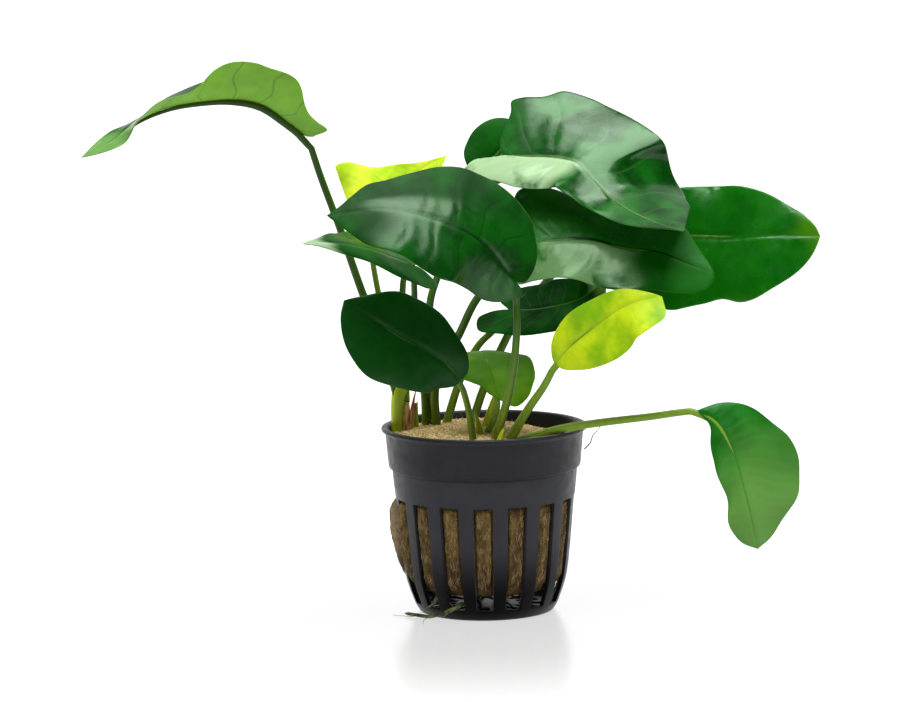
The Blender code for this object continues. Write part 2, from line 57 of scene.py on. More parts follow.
# Each light: where it stands, what it points at, its two sides and how bright its surface is
LIGHTS = {
    "overhead": ((130, -75, 920), (130, -75, 0), (630, 810), 8.0),
    "left_front": ((-370, -545, 920), (-370, -545, 0), (640, 170), 9.0),
    "left": ((-560, -120, 920), (-560, -120, 0), (220, 200), 12.0),
    "front": ((-500, -1500, 900), (0, 0, 60), (700, 500), 0.25),
    "right": ((900, -750, 200), (40, 0, 60), (420, 520), 2.2),
}
# How much the studio's white shines by itself at the pot (less, as painted shade) and further out, and where
# it changes
FLOOR_GLOW, FAR_GLOW = 0.64, 1.0
GLOW_START, GLOW_END = 50, 160
FLOOR_FRONT, FLOOR_BACK, FLOOR_SIDE, SWEEP_RADIUS, SWEEP_HEIGHT = -2600, 2600, 2600, 500, 4200

# Net pot, as in the part's source
POT_HEIGHT = 50.1
RIM_RADIUS = 27.5
WALL = 1.2
FLOOR = 1.6
SLOTS = 16
SLOT_PITCH = 360 / SLOTS
FIRST_SLOT = -91.5
SLOT_HALF_ANGLE = 6.5
SLOT_BOTTOM, SLOT_TOP = 3.0, 31.2
FLOOR_SLOT_INNER, FLOOR_SLOT_OUTER = 8.5, 14.5
BASE_CURVE = [(17.0, 0.0), (18.2, 0.7), (19.2, 2.4), (20.7, 6.5), (21.8, 10.5), (22.8, 18.5), (24.0, 31.2)]
COLLAR = [(24.8, 38.7), (25.7, 39.7), (26.5, 48.4)]
SLOT_EDGE_ROUND = 0.22
# Edges are rounded, and shaded sharp, where their faces differ by more than these angles
ROUND_ANGLE, SHARP_ANGLE = 50, 40
# Heights in metres: the collar's grey, the painted shade under its step, the darker base and its smoother
# skin
COLLAR_FADE, STEP_SHADE_START, STEP_SHADE_END = (0.0385, 0.0397), (0.0380, 0.0386), (0.0392, 0.0396)
DARK_FADE, WET_FADE = (0.006, 0.022), (0.003, 0.010)

# Rock wool
WOOL_GAP = 0.3
WOOL_EDGE_HEIGHT = 48.0
WOOL_TOP_RADIUS = 25.0
WOOL_DOME = 1.2
WOOL_SINK = 0.13
WOOL_BOTTOM = 7.0
LEFT_PAD_BULGE = 3.0
# The share of its bulge that a pad has at each height
PAD_HEIGHTS, PAD_BELLY = (7.5, 10, 14, 22, 27.5, 30.1, 30.9), (0, 0.25, 0.65, 1, 0.85, 0.4, 0)
# The leftmost pads are paler, as painted light on the pot's lit left side, between these two places in metres
PAINTED_LIT_PADS = (-0.0255, -0.021)
# Heights in metres between which the side's colour gives way to the top's, and from dark to plain low down
WOOL_TOP_FADE, WOOL_LOW_FADE = (0.044, 0.047), (0.008, 0.022)
# How many grains and fibres there are, and how far out those on the top start and end
GRAINS, GRAIN_REACH = 11000, 24.2
PAD_FIBRES, TOP_FIBRES, TOP_FIBRE_REACH, TOP_FIBRE_END = 1900, 260, 24, 24.3
# Heights between which a pad's fibres start, where they end, and the height of one step
FIBRE_STARTS, FIBRE_END, FIBRE_STEP = (8.5, 28), 29.5, 0.55
# Dark roots between the plug and the pot's floor: how many, how far out and how high they start, and how
# far out and how low they reach
MASS_ROOTS, MASS_START, MASS_HEIGHTS, MASS_REACH, MASS_LOW = 60, 13, (5, 6.6), 16.0, 2.5

# Blades
BLADE_THICKNESS = 0.5
BLADE_ROWS, BLADE_COLUMNS = 108, 22
ROW_CROWDING, COLUMN_CROWDING, VEIN_SWEEP = 1.25, 1.4, 1.35
MIDRIB_GROOVE, GROOVE_WIDTH = 0.3, 0.6
# The width of the trough along a side vein, as a share of the distance between two veins
TROUGH_WIDTH = 0.14
WAVE_SIZE = 14

# Crown and stems
CROWN_CENTRE = (-22, 4.5)
CROWN_RADIUS = 2.7
# A petiole that starts this high stands on the crown, a lower one in the wool
CROWN_TOP = 59.0
# The crown's papery flaps: which way they face, how wide in degrees, how tall, and how far they lean out
CROWN_FLAPS = ((-10, 80, 12.5, 1.4), (35, 60, 8.0, 1.8), (-60, 60, 9.0, 0.7))
# Heights in metres between which a stem's colour changes
STEM_FADE = (0.049, 0.082)
STEM_SINK = 3.0
# How far the stem runs on under the blade, as a share of the midrib, and its points there and in all
MIDRIB_REACH = 0.93
UNDER_POINTS, STEM_POINTS = 26, 110
# Colours of a stem low down and high up, and the leaves that are pale or have a pale stem
STEM_FOOT, STEM_TOP, PALE_STEM_TOP = (0.2, 0.32, 0.02), (0.045, 0.13, 0.008), (0.13, 0.25, 0.02)
PALE_BLADES, PALE_STEMS = "bgj", "bgjl"

# Each leaf: the midrib's route from base to tip and the way its upper side faces there, then its left and
# right halves, as (outline, how far the half folds up from the midrib, how far it curls towards its margin),
# and its petiole, as (route, radius at the root, radius at the blade). The points of an outline are (distance
# along the midrib, distance out). A value that changes along the midrib is a list of (share of its length,
# value).
LEAVES = {
    "a": {
        "midrib": [(-46, 12, 127), (-51, 11, 131), (-58, 8, 136), (-66, 4, 138), (-74, 0, 138),
            (-82, -5, 137), (-90, -8, 134), (-97, -11, 129), (-105, -14, 125)],
        "face": [(0, (0.1, -0.1, 1)), (0.74, (0.1, -0.1, 1)), (0.86, (0.1, -0.35, 0.9)),
            (1, (0.15, -0.4, 0.9))],
        "left": ([(-1.5, 2.5), (-2.5, 6), (1, 6), (4.5, 6.5), (8, 8.5), (11, 11), (14, 13), (19.5, 13.5),
            (23, 14.5), (27.5, 14.5), (30, 13.5), (32, 12), (34, 10), (36, 7), (39, 5), (42, 5), (46, 6),
            (51, 6), (57, 5), (64, 3)], [(0, 50), (0.45, 50), (0.62, 42), (0.76, 20), (0.86, 0), (1, 0)],
            [(0, 20), (0.4, 10), (1, 0)]),
        "right": ([(-2, 3), (-2, 7), (4, 11), (12, 13), (22, 13), (32, 11), (42, 8), (52, 4), (63, 3)],
            [(0, 15), (0.35, 10), (0.6, -8), (0.76, -14), (0.86, 0), (1, 0)], 8),
        "petiole": ([(-23.5, 4, 59), (-27, 7, 72), (-32, 8, 85), (-38, 10, 103), (-43, 12, 117),
            (-46, 12, 127)], 1.2, 0.9),
    },
    "b": {
        "midrib": [(-30, 14, 100), (-28, 16, 106), (-23, 17, 111), (-16, 17, 117), (-9, 15, 121)],
        "face": [(0, (-0.3, -0.8, 0.5)), (1, (-0.2, -0.7, 0.7))],
        "left": ([(1, 3), (5, 7), (7, 12), (8.5, 17), (9, 18.5), (10.2, 17), (12.5, 13), (17, 8), (22, 3),
            (28, 1)], 8, -10),
        "right": ([(-1, 4), (4, 6), (9, 8), (20, 8), (28, 5)], 5, -10),
        "petiole": ([(-22.3, 6.3, 59), (-26, 11, 75), (-29, 14, 91), (-30, 14, 100)], 1.0, 0.7),
    },
    "c": {
        "midrib": [(9, -28, 92), (6, -29.5, 96), (2.5, -31, 100.5), (-1.5, -32.5, 104.5), (-6.5, -34, 107.5),
            (-13, -35, 110), (-21, -36, 112), (-30, -37, 112.5), (-40, -38, 111.5)],
        "face": [(0, (0.1, -0.8, 0.5)), (0.5, (0, -0.72, 0.69)), (1, (0, -0.66, 0.75))],
        "left": ([(-4, 0.5), (-3, 3.5), (0.5, 8), (4, 10.5), (9, 12), (15, 14), (24, 16.5), (30, 15.5),
            (35, 14), (41, 13), (48, 11), (53, 6), (56, 2)], 0, -8),
        "right": ([(-2, 2), (-2, 5), (-1, 8), (1.5, 11), (4, 13), (7, 15), (10, 16.5), (14.5, 18),
            (20, 19.5), (25.5, 19.5), (31, 17.5), (36.5, 14), (41.5, 11), (46, 9.5), (50, 6), (54, 2.5)], 0,
            -8),
        "petiole": ([(3, -14, 48), (6, -20, 59), (8, -24, 69), (9, -25, 80), (9, -24.5, 87), (9, -28, 92)],
            1.2, 0.9),
    },
    "d": {
        "midrib": [(-18, -5, 94), (-24, -10, 97), (-30, -16, 100), (-37, -22, 102), (-43, -26, 103),
            (-47, -28, 103)],
        "face": [(0, (0, -0.45, 0.9)), (1, (-0.1, -0.5, 0.85))],
        "left": ([(-4, 1), (-7, 4), (-2, 8), (6, 8), (15, 7), (24, 5), (32, 2)], -12, -12),
        "right": ([(-3, 3), (-3, 8), (4, 13), (12, 14), (24, 8), (32, 3)], 0, -8),
        "petiole": ([(-15.7, 11, 50), (-16, 10, 58), (-18, 4, 73), (-18, -1, 85), (-18, -5, 94)], 1.1, 0.8),
    },
    "e": {
        "midrib": [(-6, -26, 66), (-9, -28, 70), (-14, -30, 74), (-22, -33, 79), (-29, -35, 84),
            (-36, -36, 89)],
        "face": [(0, (0, -0.85, 0.5)), (1, (-0.1, -0.7, 0.7))],
        "left": ([(0, 2), (2, 5), (6, 9), (13, 12), (20, 14), (26, 15), (32, 12), (38, 5)], 4, -12),
        "right": ([(0, 3), (3, 6), (8, 9), (14, 12), (20, 13), (26, 12), (32, 8), (37, 3)], 4, -12),
        "petiole": ([(-3, -16, 49), (-4, -20, 57), (-6, -26, 66)], 1.0, 0.8),
    },
    "f": {
        "midrib": [(7, 8, 80), (13, 6, 80), (18, 4, 81), (25, 2, 83), (30, 0, 86), (33, 0, 89)],
        "face": [(0, (0, -0.7, 0.7)), (1, (0.1, -0.7, 0.7))],
        "left": ([(-3, 3), (0, 6), (4, 8), (10, 9), (17, 8), (24, 6), (29, 3)], 6, -8),
        "right": ([(-5, 1), (-8, 3), (-7, 7), (0, 8), (8, 8), (15, 8), (21, 7), (26, 4)], 0, -10),
        "petiole": ([(-10, 14, 50), (-6, 13, 61), (-1, 12.5, 70), (3, 11.5, 74), (7, 8, 80)], 1.2, 0.8),
    },
    "g": {
        "midrib": [(4, -14, 59), (3, -12, 62), (2, -8, 65.5), (1, -3, 68), (0, 2, 69), (-1, 7, 69)],
        "face": [(0, (0, -0.5, 0.86)), (1, (0, -0.1, 1))],
        "left": ([(2, 2), (5, 4), (8, 8), (12, 11), (17, 10), (22, 6)], 6, -16),
        "right": ([(-2, 2), (-3, 4), (-1, 8), (4, 11), (10, 12), (16, 11), (22, 6)], 6, -16),
        "petiole": ([(1, -7, 48), (3, -11, 54), (4, -14, 59)], 0.9, 0.7),
    },
    "h": {
        "midrib": [(6, 3, 122), (13, 0, 122), (21, -4, 122), (26, -8, 121), (29, -12, 118), (33, -16, 114),
            (39, -22, 110), (46, -27, 107), (53, -31, 105)],
        "face": [(0, (0, -0.35, 0.94)), (0.4, (0.1, -0.4, 0.9)), (0.6, (0.5, -0.45, 0.75)),
            (1, (0.5, -0.6, 0.6))],
        "left": ([(-2, 4.5), (-2, 10), (-2, 15.5), (-3, 19.5), (-0.5, 21), (5, 22), (9.5, 25), (14.5, 24.5),
            (18.5, 23), (22.5, 22.5), (26, 23.5), (30.5, 25), (35.5, 25.5), (41, 25), (47, 22.5), (53, 18),
            (57, 12), (60, 6)], [(0, 28), (0.5, 15), (1, 0)], [(0, -8), (1, -20)]),
        "right": ([(-4, 1), (-8, 1.5), (-10, 5), (-6, 7), (0, 8), (6, 9.5), (15, 10), (24, 9.5), (32, 8),
            (42, 8), (50, 5.5), (58, 1)], [(0, -30), (0.45, -28), (0.7, -10), (1, -5)], -10),
        "petiole": ([(-14.5, 14, 50), (-14, 11, 58), (-14, 6, 82), (-12, 6, 89), (-5, 7, 105), (1, 8, 115),
            (5, 6.5, 120), (6, 3, 122)], 1.2, 0.8),
    },
    "i": {
        "midrib": [(14, -8, 100), (21, -10, 101), (29, -12, 101), (38, -15, 99), (47, -18, 98),
            (55, -20, 95), (61, -22, 93)],
        "face": [(0, (0, -0.66, 0.7)), (1, (0.1, -0.68, 0.7))],
        "left": ([(-2.5, 2), (-5.5, 7), (-7, 13.5), (-6, 18.5), (-1, 19), (4.5, 17.5), (9, 15), (17, 13),
            (26.5, 12.5), (35.5, 11.5), (42, 7), (46, 4)], 4, -6),
        "right": ([(-2, 1.5), (-5, 4.5), (-6, 8.5), (-4.5, 11.5), (0, 11), (6, 11), (15, 12), (23.5, 12.5),
            (29, 12), (35.5, 11), (47.5, 7.5), (50.5, 4.5), (51, 2)], -14, -6),
        "petiole": ([(-12.8, 9.5, 49), (-12.8, 8, 60), (-6, 1, 75), (-1, -3, 85), (8, -4, 94),
            (11.5, -5.5, 97), (14, -8, 100)], 1.2, 1.0),
    },
    "j": {
        "midrib": [(19, -20, 69), (23, -22, 74), (30, -25, 80), (37, -28, 85), (42, -30, 87), (47, -31, 88)],
        "face": [(0, (-0.1, -0.85, 0.5)), (1, (0, -0.8, 0.6))],
        "left": ([(1, 2), (4, 5), (9, 7), (17, 7), (26, 5), (33, 2)], 8, -10),
        "right": ([(1, 3), (5, 7), (11, 10), (19, 12), (27, 11), (33, 9), (37, 6)], 8, -10),
        "petiole": ([(7, -12, 48), (12, -16, 57), (16, -18, 63), (19, -20, 69)], 1.3, 0.9),
    },
    "k": {
        "midrib": [(36, 14, 96), (44, 13, 98), (53, 10, 99), (64, 6, 99), (77, 1, 100), (90, -4, 100)],
        "face": [(0, (0, -0.93, 0.35)), (1, (0, -0.96, 0.25))],
        "left": ([(4, 5.5), (9, 10.5), (14.5, 12.5), (20.5, 13.5), (27, 14), (35, 13.5), (41.5, 11.5),
            (48, 8), (52.5, 5.5), (56, 2.5)], 4, -8),
        "right": ([(0, 4.5), (3.5, 14), (12, 19.5), (18.5, 20.5), (26.5, 18.5), (30.5, 17), (35, 18),
            (40, 17), (48, 13), (52.5, 9.5), (55.5, 5.5), (57, 2)], 4, -8),
        "petiole": ([(-3, 12.5, 50), (0, 12, 58), (5, 12, 69), (9, 13, 76), (21, 15, 90), (30, 15, 94.5),
            (36, 14, 96)], 1.2, 0.9),
    },
    "l": {
        "midrib": [(56, -26, 57), (61, -27, 54), (65, -30, 47), (67, -33, 40), (69, -36, 32), (71, -38, 22)],
        "face": [(0, (0.3, -0.85, 0.45)), (1, (0.4, -0.85, 0.1))],
        "left": ([(2, 3), (5, 7), (9, 13), (15, 17), (22, 18), (28, 16), (34, 11), (39, 5)], 4, -14),
        "right": ([(3, 1), (9, 4), (17, 6), (26, 5), (34, 6), (39, 4)], -20, -20),
        "petiole": ([(10, -12.5, 49), (20, -15.5, 51), (31, -18, 53), (44, -22, 55), (51, -24.5, 56.3),
            (56, -26, 57)], 1.2, 0.9),
    },
    "m": {
        "midrib": [(0, 16, 115), (3, 18, 119), (7, 20, 123), (12, 22, 124), (18, 23, 124)],
        "face": [(0, (0, -0.88, 0.45)), (1, (0, -0.85, 0.5))],
        "left": ([(-0.5, 2), (1, 5), (3.5, 7.5), (6, 8.5), (9, 9), (12, 8.5), (15, 7), (18, 4.5)], 8, -12),
        "right": ([(-1, 2.5), (2.5, 6.5), (8, 7.5), (14.5, 7), (21, 3)], 8, -12),
        "petiole": ([(-20.8, 4, 59), (-21, 9, 72), (-21, 13, 88), (-17, 15, 99), (-9, 16, 108),
            (0, 16, 115)], 1.0, 0.7),
    },
}

# Short stems that end low down, as (route, radius at the root, radius at the top)
SHOOTS = {
    "shoot_left": ([(-18.5, 8, 50), (-18.2, 8, 53), (-17.8, 8, 55.5)], 1.0, 0.3),
    "shoot_middle": ([(-1, -9, 49), (-1.6, -9, 52), (-2.5, -9, 55.5)], 1.1, 0.4),
    "shoot_right": ([(3.5, -18.5, 48), (4.5, -18.5, 50), (5.2, -18.5, 52)], 0.9, 0.4),
    "short_stem": ([(0, 4, 49), (2, 3, 54), (4, 2, 60)], 1.0, 0.8),
}

# Loose root ends that leave the slots near the floor
ROOTS = {
    "root_long": ([(-6.5, -16.2, 4.6), (-8, -19.2, 4.2), (-12, -18.4, 2.4), (-15, -15, 1.0),
                   (-18.5, -11, 0.7), (-22, -8, 0.7)], 0.55, 0.45),
    "root_short": ([(-12.4, -12.4, 4.9), (-14.6, -14.4, 4.1), (-17, -14.2, 2.2)], 0.4, 0.3),
}
# Hair-fine roots as (start, first step), and one at the right of the rim
HAIRS = [
    ((-12, -15, 2.0), (-1.6, -0.5, 0.0)), ((-14, -15, 1.5), (-1.2, 0.8, 0.1)),
    ((-9, -18, 3.0), (-1.0, -0.9, -0.2)), ((-17, -12, 1.0), (-1.4, 0.9, 0.05)),
    ((-8, -17, 3.4), (-1.5, 0.1, 0.25)),
]
LOOSE_ROOT = [(26.6, -6, 44), (28.2, -5.5, 45.6), (29.0, -5, 47.6), (30.6, -5, 49.4), (31.4, -5, 51.2)]

# Roughness of a dull skin, and the tint of a wet and a dull one's gloss
DULL_SKIN = 0.5
WET_TINT, DULL_TINT = (0.7, 1.0, 0.7), (0.05, 0.1, 0.05)
# How each leaf is coloured, as far as it differs from the plain look
# deep, fresh: the darker and lighter green of the upper side. line: midrib and veins. under: the lower side.
# tip: another colour, the share of the length around which it starts and how gradually.
# veins: side veins in each half. vein_line, midrib_line: how strongly they are drawn.
# relief: depth of the troughs along the veins. ripple: height of the margin's waves and how many there are.
# wave: height of the blade's own swells. gloss: roughness of the skin. shine: how strongly it reflects.
# glow: how much light comes through.
# painted_gloss: painted reflection of the wet skin, as the colour of its pale patches on the right half, how
# strong it is, where along the leaf it ends and the size of its patches.
# dull: where the skin loses its gloss, along the leaf or out across its right half, as the two shares
# between which that happens, and 1 where it is dull beyond them or -1 where it is dull before them.
PLAIN_LOOK = {
    "deep": (0.0008, 0.036, 0.0012), "fresh": (0.003, 0.075, 0.003), "line": (0.03, 0.14, 0.02),
    "under": (0.1, 0.27, 0.03), "tip": None, "veins": 9, "vein_line": 0.15, "midrib_line": 0.5,
    "relief": 0.12, "gloss": 0.2, "glow": 0.0, "ripple": (0.3, 3), "wave": 0.5, "painted_gloss": None, "shine": 0.45,
    "dull": [],
}
LOOKS = {
    "a": {"line": (0.1, 0.08, 0.03), "under": (0.2, 0.5, 0.02), "veins": 8, "relief": 0.2,
        "tip": ((0.13, 0.3, 0.07), 0.86, 0.05)},
    "b": {"deep": (0.34, 0.58, 0.012), "fresh": (0.72, 0.86, 0.05), "line": (0.5, 0.66, 0.06),
        "under": (0.5, 0.7, 0.04), "glow": 0.3, "ripple": (0.8, 3), "gloss": 0.5, "shine": 0.1},
    "c": {"line": (0.001, 0.02, 0.002), "veins": 8, "vein_line": 0.6, "midrib_line": 0.9, "relief": 0.2,
        "gloss": 0.24, "dull": [("along", 0.72, 0.9, 1), ("right", 0.2, 0.5, 1), ("along", 0.06, 0.16, -1)]},
    "d": {"deep": (0.001, 0.05, 0.001), "tip": ((0.3, 0.42, 0.25), 0.88, 0.05), "gloss": 0.4, "shine": 0.08,
        "relief": 0.06},
    "e": {"fresh": (0.001, 0.045, 0.002), "line": (0.01, 0.07, 0.01), "vein_line": 0.05, "midrib_line": 0.3,
        "gloss": 0.35, "shine": 0.2, "relief": 0.04},
    "f": {"fresh": (0.006, 0.11, 0.005), "tip": ((0.16, 0.3, 0.08), 0.9, 0.05), "line": (0.16, 0.34, 0.12),
        "gloss": 0.4, "shine": 0.08, "relief": 0.05},
    "g": {"deep": (0.05, 0.17, 0.002), "fresh": (0.11, 0.27, 0.008), "line": (0.04, 0.13, 0.004),
        "under": (0.2, 0.45, 0.02), "glow": 0.1, "gloss": 0.5, "relief": 0.08, "shine": 0.08},
    "h": {"fresh": (0.006, 0.11, 0.006), "line": (0.2, 0.36, 0.12), "vein_line": 0.1, "midrib_line": 0.25,
        "veins": 8, "wave": 0.6, "painted_gloss": ((0.42, 0.62, 0.34), 0.85, 0.53, 14),
        "dull": [("along", 0.2, 0.36, -1), ("along", 0.66, 0.8, 1)]},
    "i": {"deep": (0.003, 0.09, 0.003), "fresh": (0.009, 0.13, 0.007), "line": (0.001, 0.01, 0.002),
        "midrib_line": 0.9, "relief": 0.06, "ripple": (0.4, 4), "painted_gloss": ((0.2, 0.36, 0.15), 0.7, 0.68, 9),
        "dull": [("along", 0.58, 0.72, 1)]},
    "j": {"deep": (0.2, 0.44, 0.003), "fresh": (0.55, 0.7, 0.008), "line": (0.2, 0.42, 0.008),
        "under": (0.45, 0.6, 0.02), "vein_line": 0.3, "glow": 0.3, "gloss": 0.42, "relief": 0.08,
        "shine": 0.3},
    "k": {"deep": (0.001, 0.1, 0.001), "fresh": (0.006, 0.14, 0.003),
        "tip": ((0.05, 0.2, 0.004), 0.95, 0.05), "vein_line": 0.12, "midrib_line": 0.15, "glow": 0.1,
        "ripple": (0.5, 3)},
    "l": {"deep": (0.002, 0.1, 0.003), "fresh": (0.012, 0.17, 0.01), "tip": ((0.11, 0.27, 0.05), 0.55, 0.3),
        "ripple": (0.6, 4), "gloss": 0.35, "shine": 0.2},
    "m": {"deep": (0.001, 0.06, 0.001), "fresh": (0.004, 0.1, 0.003), "gloss": 0.4, "shine": 0.06,
        "relief": 0.04},
}


# Curves and keyed values

def smooth(points, per_span=12):
    """A centripetal Catmull-Rom curve through the points."""
    knots = np.array(points, float)
    knots = np.vstack([2 * knots[0] - knots[1], knots, 2 * knots[-1] - knots[-2]])
    curve = []
    for p0, p1, p2, p3 in zip(knots, knots[1:], knots[2:], knots[3:]):
        t1 = np.linalg.norm(p1 - p0) ** 0.5
        t2 = t1 + np.linalg.norm(p2 - p1) ** 0.5
        t3 = t2 + np.linalg.norm(p3 - p2) ** 0.5
        for t in np.linspace(t1, t2, per_span, endpoint=False):
            a1 = ((t1 - t) * p0 + t * p1) / t1
            a2 = ((t2 - t) * p1 + (t - t1) * p2) / (t2 - t1)
            a3 = ((t3 - t) * p2 + (t - t2) * p3) / (t3 - t2)
            b1 = ((t2 - t) * a1 + t * a2) / t2
            b2 = ((t3 - t) * a2 + (t - t1) * a3) / (t3 - t1)
            curve.append(((t2 - t) * b1 + (t - t1) * b2) / (t2 - t1))
    curve.append(knots[-2])
    return np.array(curve)


def distances(curve):
    return np.r_[0, np.cumsum(np.linalg.norm(np.diff(curve, axis=0), axis=1))]


def shares(curve):
    """Each point's share of the way along the curve."""
    return distances(curve) / distances(curve)[-1]


def at_distance(curve, distance):
    """The curve's point at one distance, or a row of points for an array of distances."""
    run = distances(curve)
    return np.array([np.interp(distance, run, axis) for axis in curve.T]).T


def keyed(value, share):
    """The value itself, or the value that its (share, value) keys ease to at this share."""
    if not isinstance(value, list):
        return value
    for (start, first), (end, second) in zip(value, value[1:]):
        if share <= end:
            t = (share - start) / (end - start)
            t = t * t * (3 - 2 * t)
            return (1 - t) * np.array(first) + t * np.array(second)
    return np.array(value[-1][1])


# Leaf blades

class Blade:
    """A leaf blade's middle surface, worked out from its midrib and the flat outline of each half."""

    def __init__(self, leaf):
        self.midrib = smooth(leaf["midrib"])
        self.length = distances(self.midrib)[-1]
        self.face = leaf["face"]
        self.halves = {1: leaf["left"], -1: leaf["right"]}

    def axis(self, along):
        """The midrib's point there, and the directions to its left and out of its upper side."""
        reach = 1.5
        middle = min(max(along, reach), self.length - reach)
        forward = at_distance(self.midrib, middle + reach) - at_distance(self.midrib, middle - reach)
        forward /= np.linalg.norm(forward)
        on_midrib = min(max(along, 0), self.length)
        point = at_distance(self.midrib, on_midrib) + (along - on_midrib) * forward
        left = np.cross(keyed(self.face, on_midrib / self.length), forward)
        left /= np.linalg.norm(left)
        return point, left, np.cross(forward, left)

    def point(self, along, out, side, share):
        """A point of one half. side is 1 on the left and -1 on the right; share runs out from the midrib."""
        start, left, up = self.axis(along)
        place = min(max(along / self.length, 0), 1)
        fold, curl = (math.radians(keyed(angle, place)) for angle in self.halves[side][1:])
        curl *= share
        chord = out * (math.sin(curl / 2) / (curl / 2) if abs(curl) > 1e-6 else 1)
        slope = fold + curl / 2
        return start + side * chord * math.cos(slope) * left + chord * math.sin(slope) * up

    def grid(self, rows, columns):
        """Points [row][column] from base to tip and from the right margin to the left one."""
        steps = np.linspace(0, 1, rows + 1)
        margins = {}
        for side, (outline, _, _) in self.halves.items():
            curve = smooth([(0, 0)] + outline + [(self.length, 0)])
            margins[side] = at_distance(curve, steps * distances(curve)[-1])
        points = np.zeros((rows + 1, 2 * columns + 1, 3))
        for row, share in enumerate(steps):
            middle = share ** ROW_CROWDING * self.length
            for column in range(-columns, columns + 1):
                side = 1 if column >= 0 else -1
                outward = 1 - (1 - abs(column) / columns) ** COLUMN_CROWDING
                edge_along, edge_out = margins[side][row]
                along = middle + (edge_along - middle) * outward ** VEIN_SWEEP
                points[row, column + columns] = self.point(along, edge_out * outward, side, outward)
        return points


# Making and joining meshes

def piece_from(name, points, faces, looks, place=None):
    """A smooth-shaded piece from points in millimetres. place gives each point's U and V."""
    mesh = bpy.data.meshes.new(name)
    mesh.from_pydata((np.asarray(points) * MM).tolist(), [], faces)
    if place is not None:
        layer = mesh.uv_layers.new(name="place")
        corners = np.zeros(len(mesh.loops), int)
        mesh.loops.foreach_get("vertex_index", corners)
        layer.data.foreach_set("uv", np.asarray(place, float)[corners].ravel())
    for look in looks:
        mesh.materials.append(look)
    mesh.shade_smooth()
    piece = bpy.data.objects.new(name, mesh)
    bpy.context.scene.collection.objects.link(piece)
    return piece


def joined(parts):
    """One list of points, faces and places from several."""
    points, faces, places = [], [], []
    start = 0
    for part_points, part_faces, part_places in parts:
        points.append(part_points)
        places.append(part_places)
        faces += [tuple(start + corner for corner in face) for face in part_faces]
        start += len(part_points)
    return np.vstack(points), faces, np.vstack(places)


def finish_piece(piece, slot, *nodes):
    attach(piece, "root")
    if nodes:
        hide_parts(*nodes)


def add_parts(name, parts, look, slot, *nodes):
    """One finished piece from several parts."""
    points, faces, places = joined(parts)
    piece = piece_from(name, points, faces, [look], places)
    finish_piece(piece, slot, *nodes)
    return piece


def polar(radius, angle, height):
    turn = math.radians(angle)
    return radius * math.cos(turn), radius * math.sin(turn), height


def row_faces(rows, count, closed=True):
    """Faces between neighbouring rows of points. In a closed row the last point is next to the first."""
    return [(row * count + k, row * count + (k + 1) % count,
             (row + 1) * count + (k + 1) % count, (row + 1) * count + k)
            for row in range(rows - 1) for k in range(count if closed else count - 1)]


def tube_parts(path, radii, sides, squash=1.0):
    """Points, faces and places of a closed round tube along the path, with a radius for each path point."""
    path = np.asarray(path, float)
    steps = np.gradient(path, axis=0)
    steps /= np.linalg.norm(steps, axis=1, keepdims=True)
    side = np.cross(steps[0], TUBE_SIDE)
    side /= np.linalg.norm(side)
    angles = np.arange(sides) * 2 * math.pi / sides
    rings, places = [], []
    run = distances(path)
    for centre, step, radius, far in zip(path, steps, radii, run):
        side = side - np.dot(side, step) * step
        side /= np.linalg.norm(side)
        other = np.cross(step, side)
        rings.append(centre + radius * (np.outer(np.cos(angles), side)
                                        + squash * np.outer(np.sin(angles), other)))
        places.append(np.c_[np.full(sides, far), np.arange(sides) / sides])
    count = len(path)
    faces = row_faces(count, sides)
    faces.append(tuple(range(sides))[::-1])
    faces.append(tuple((count - 1) * sides + k for k in range(sides)))
    return np.vstack(rings), faces, np.vstack(places)


# Materials

def shaded(colour, factor):
    return tuple(factor * part for part in colour)


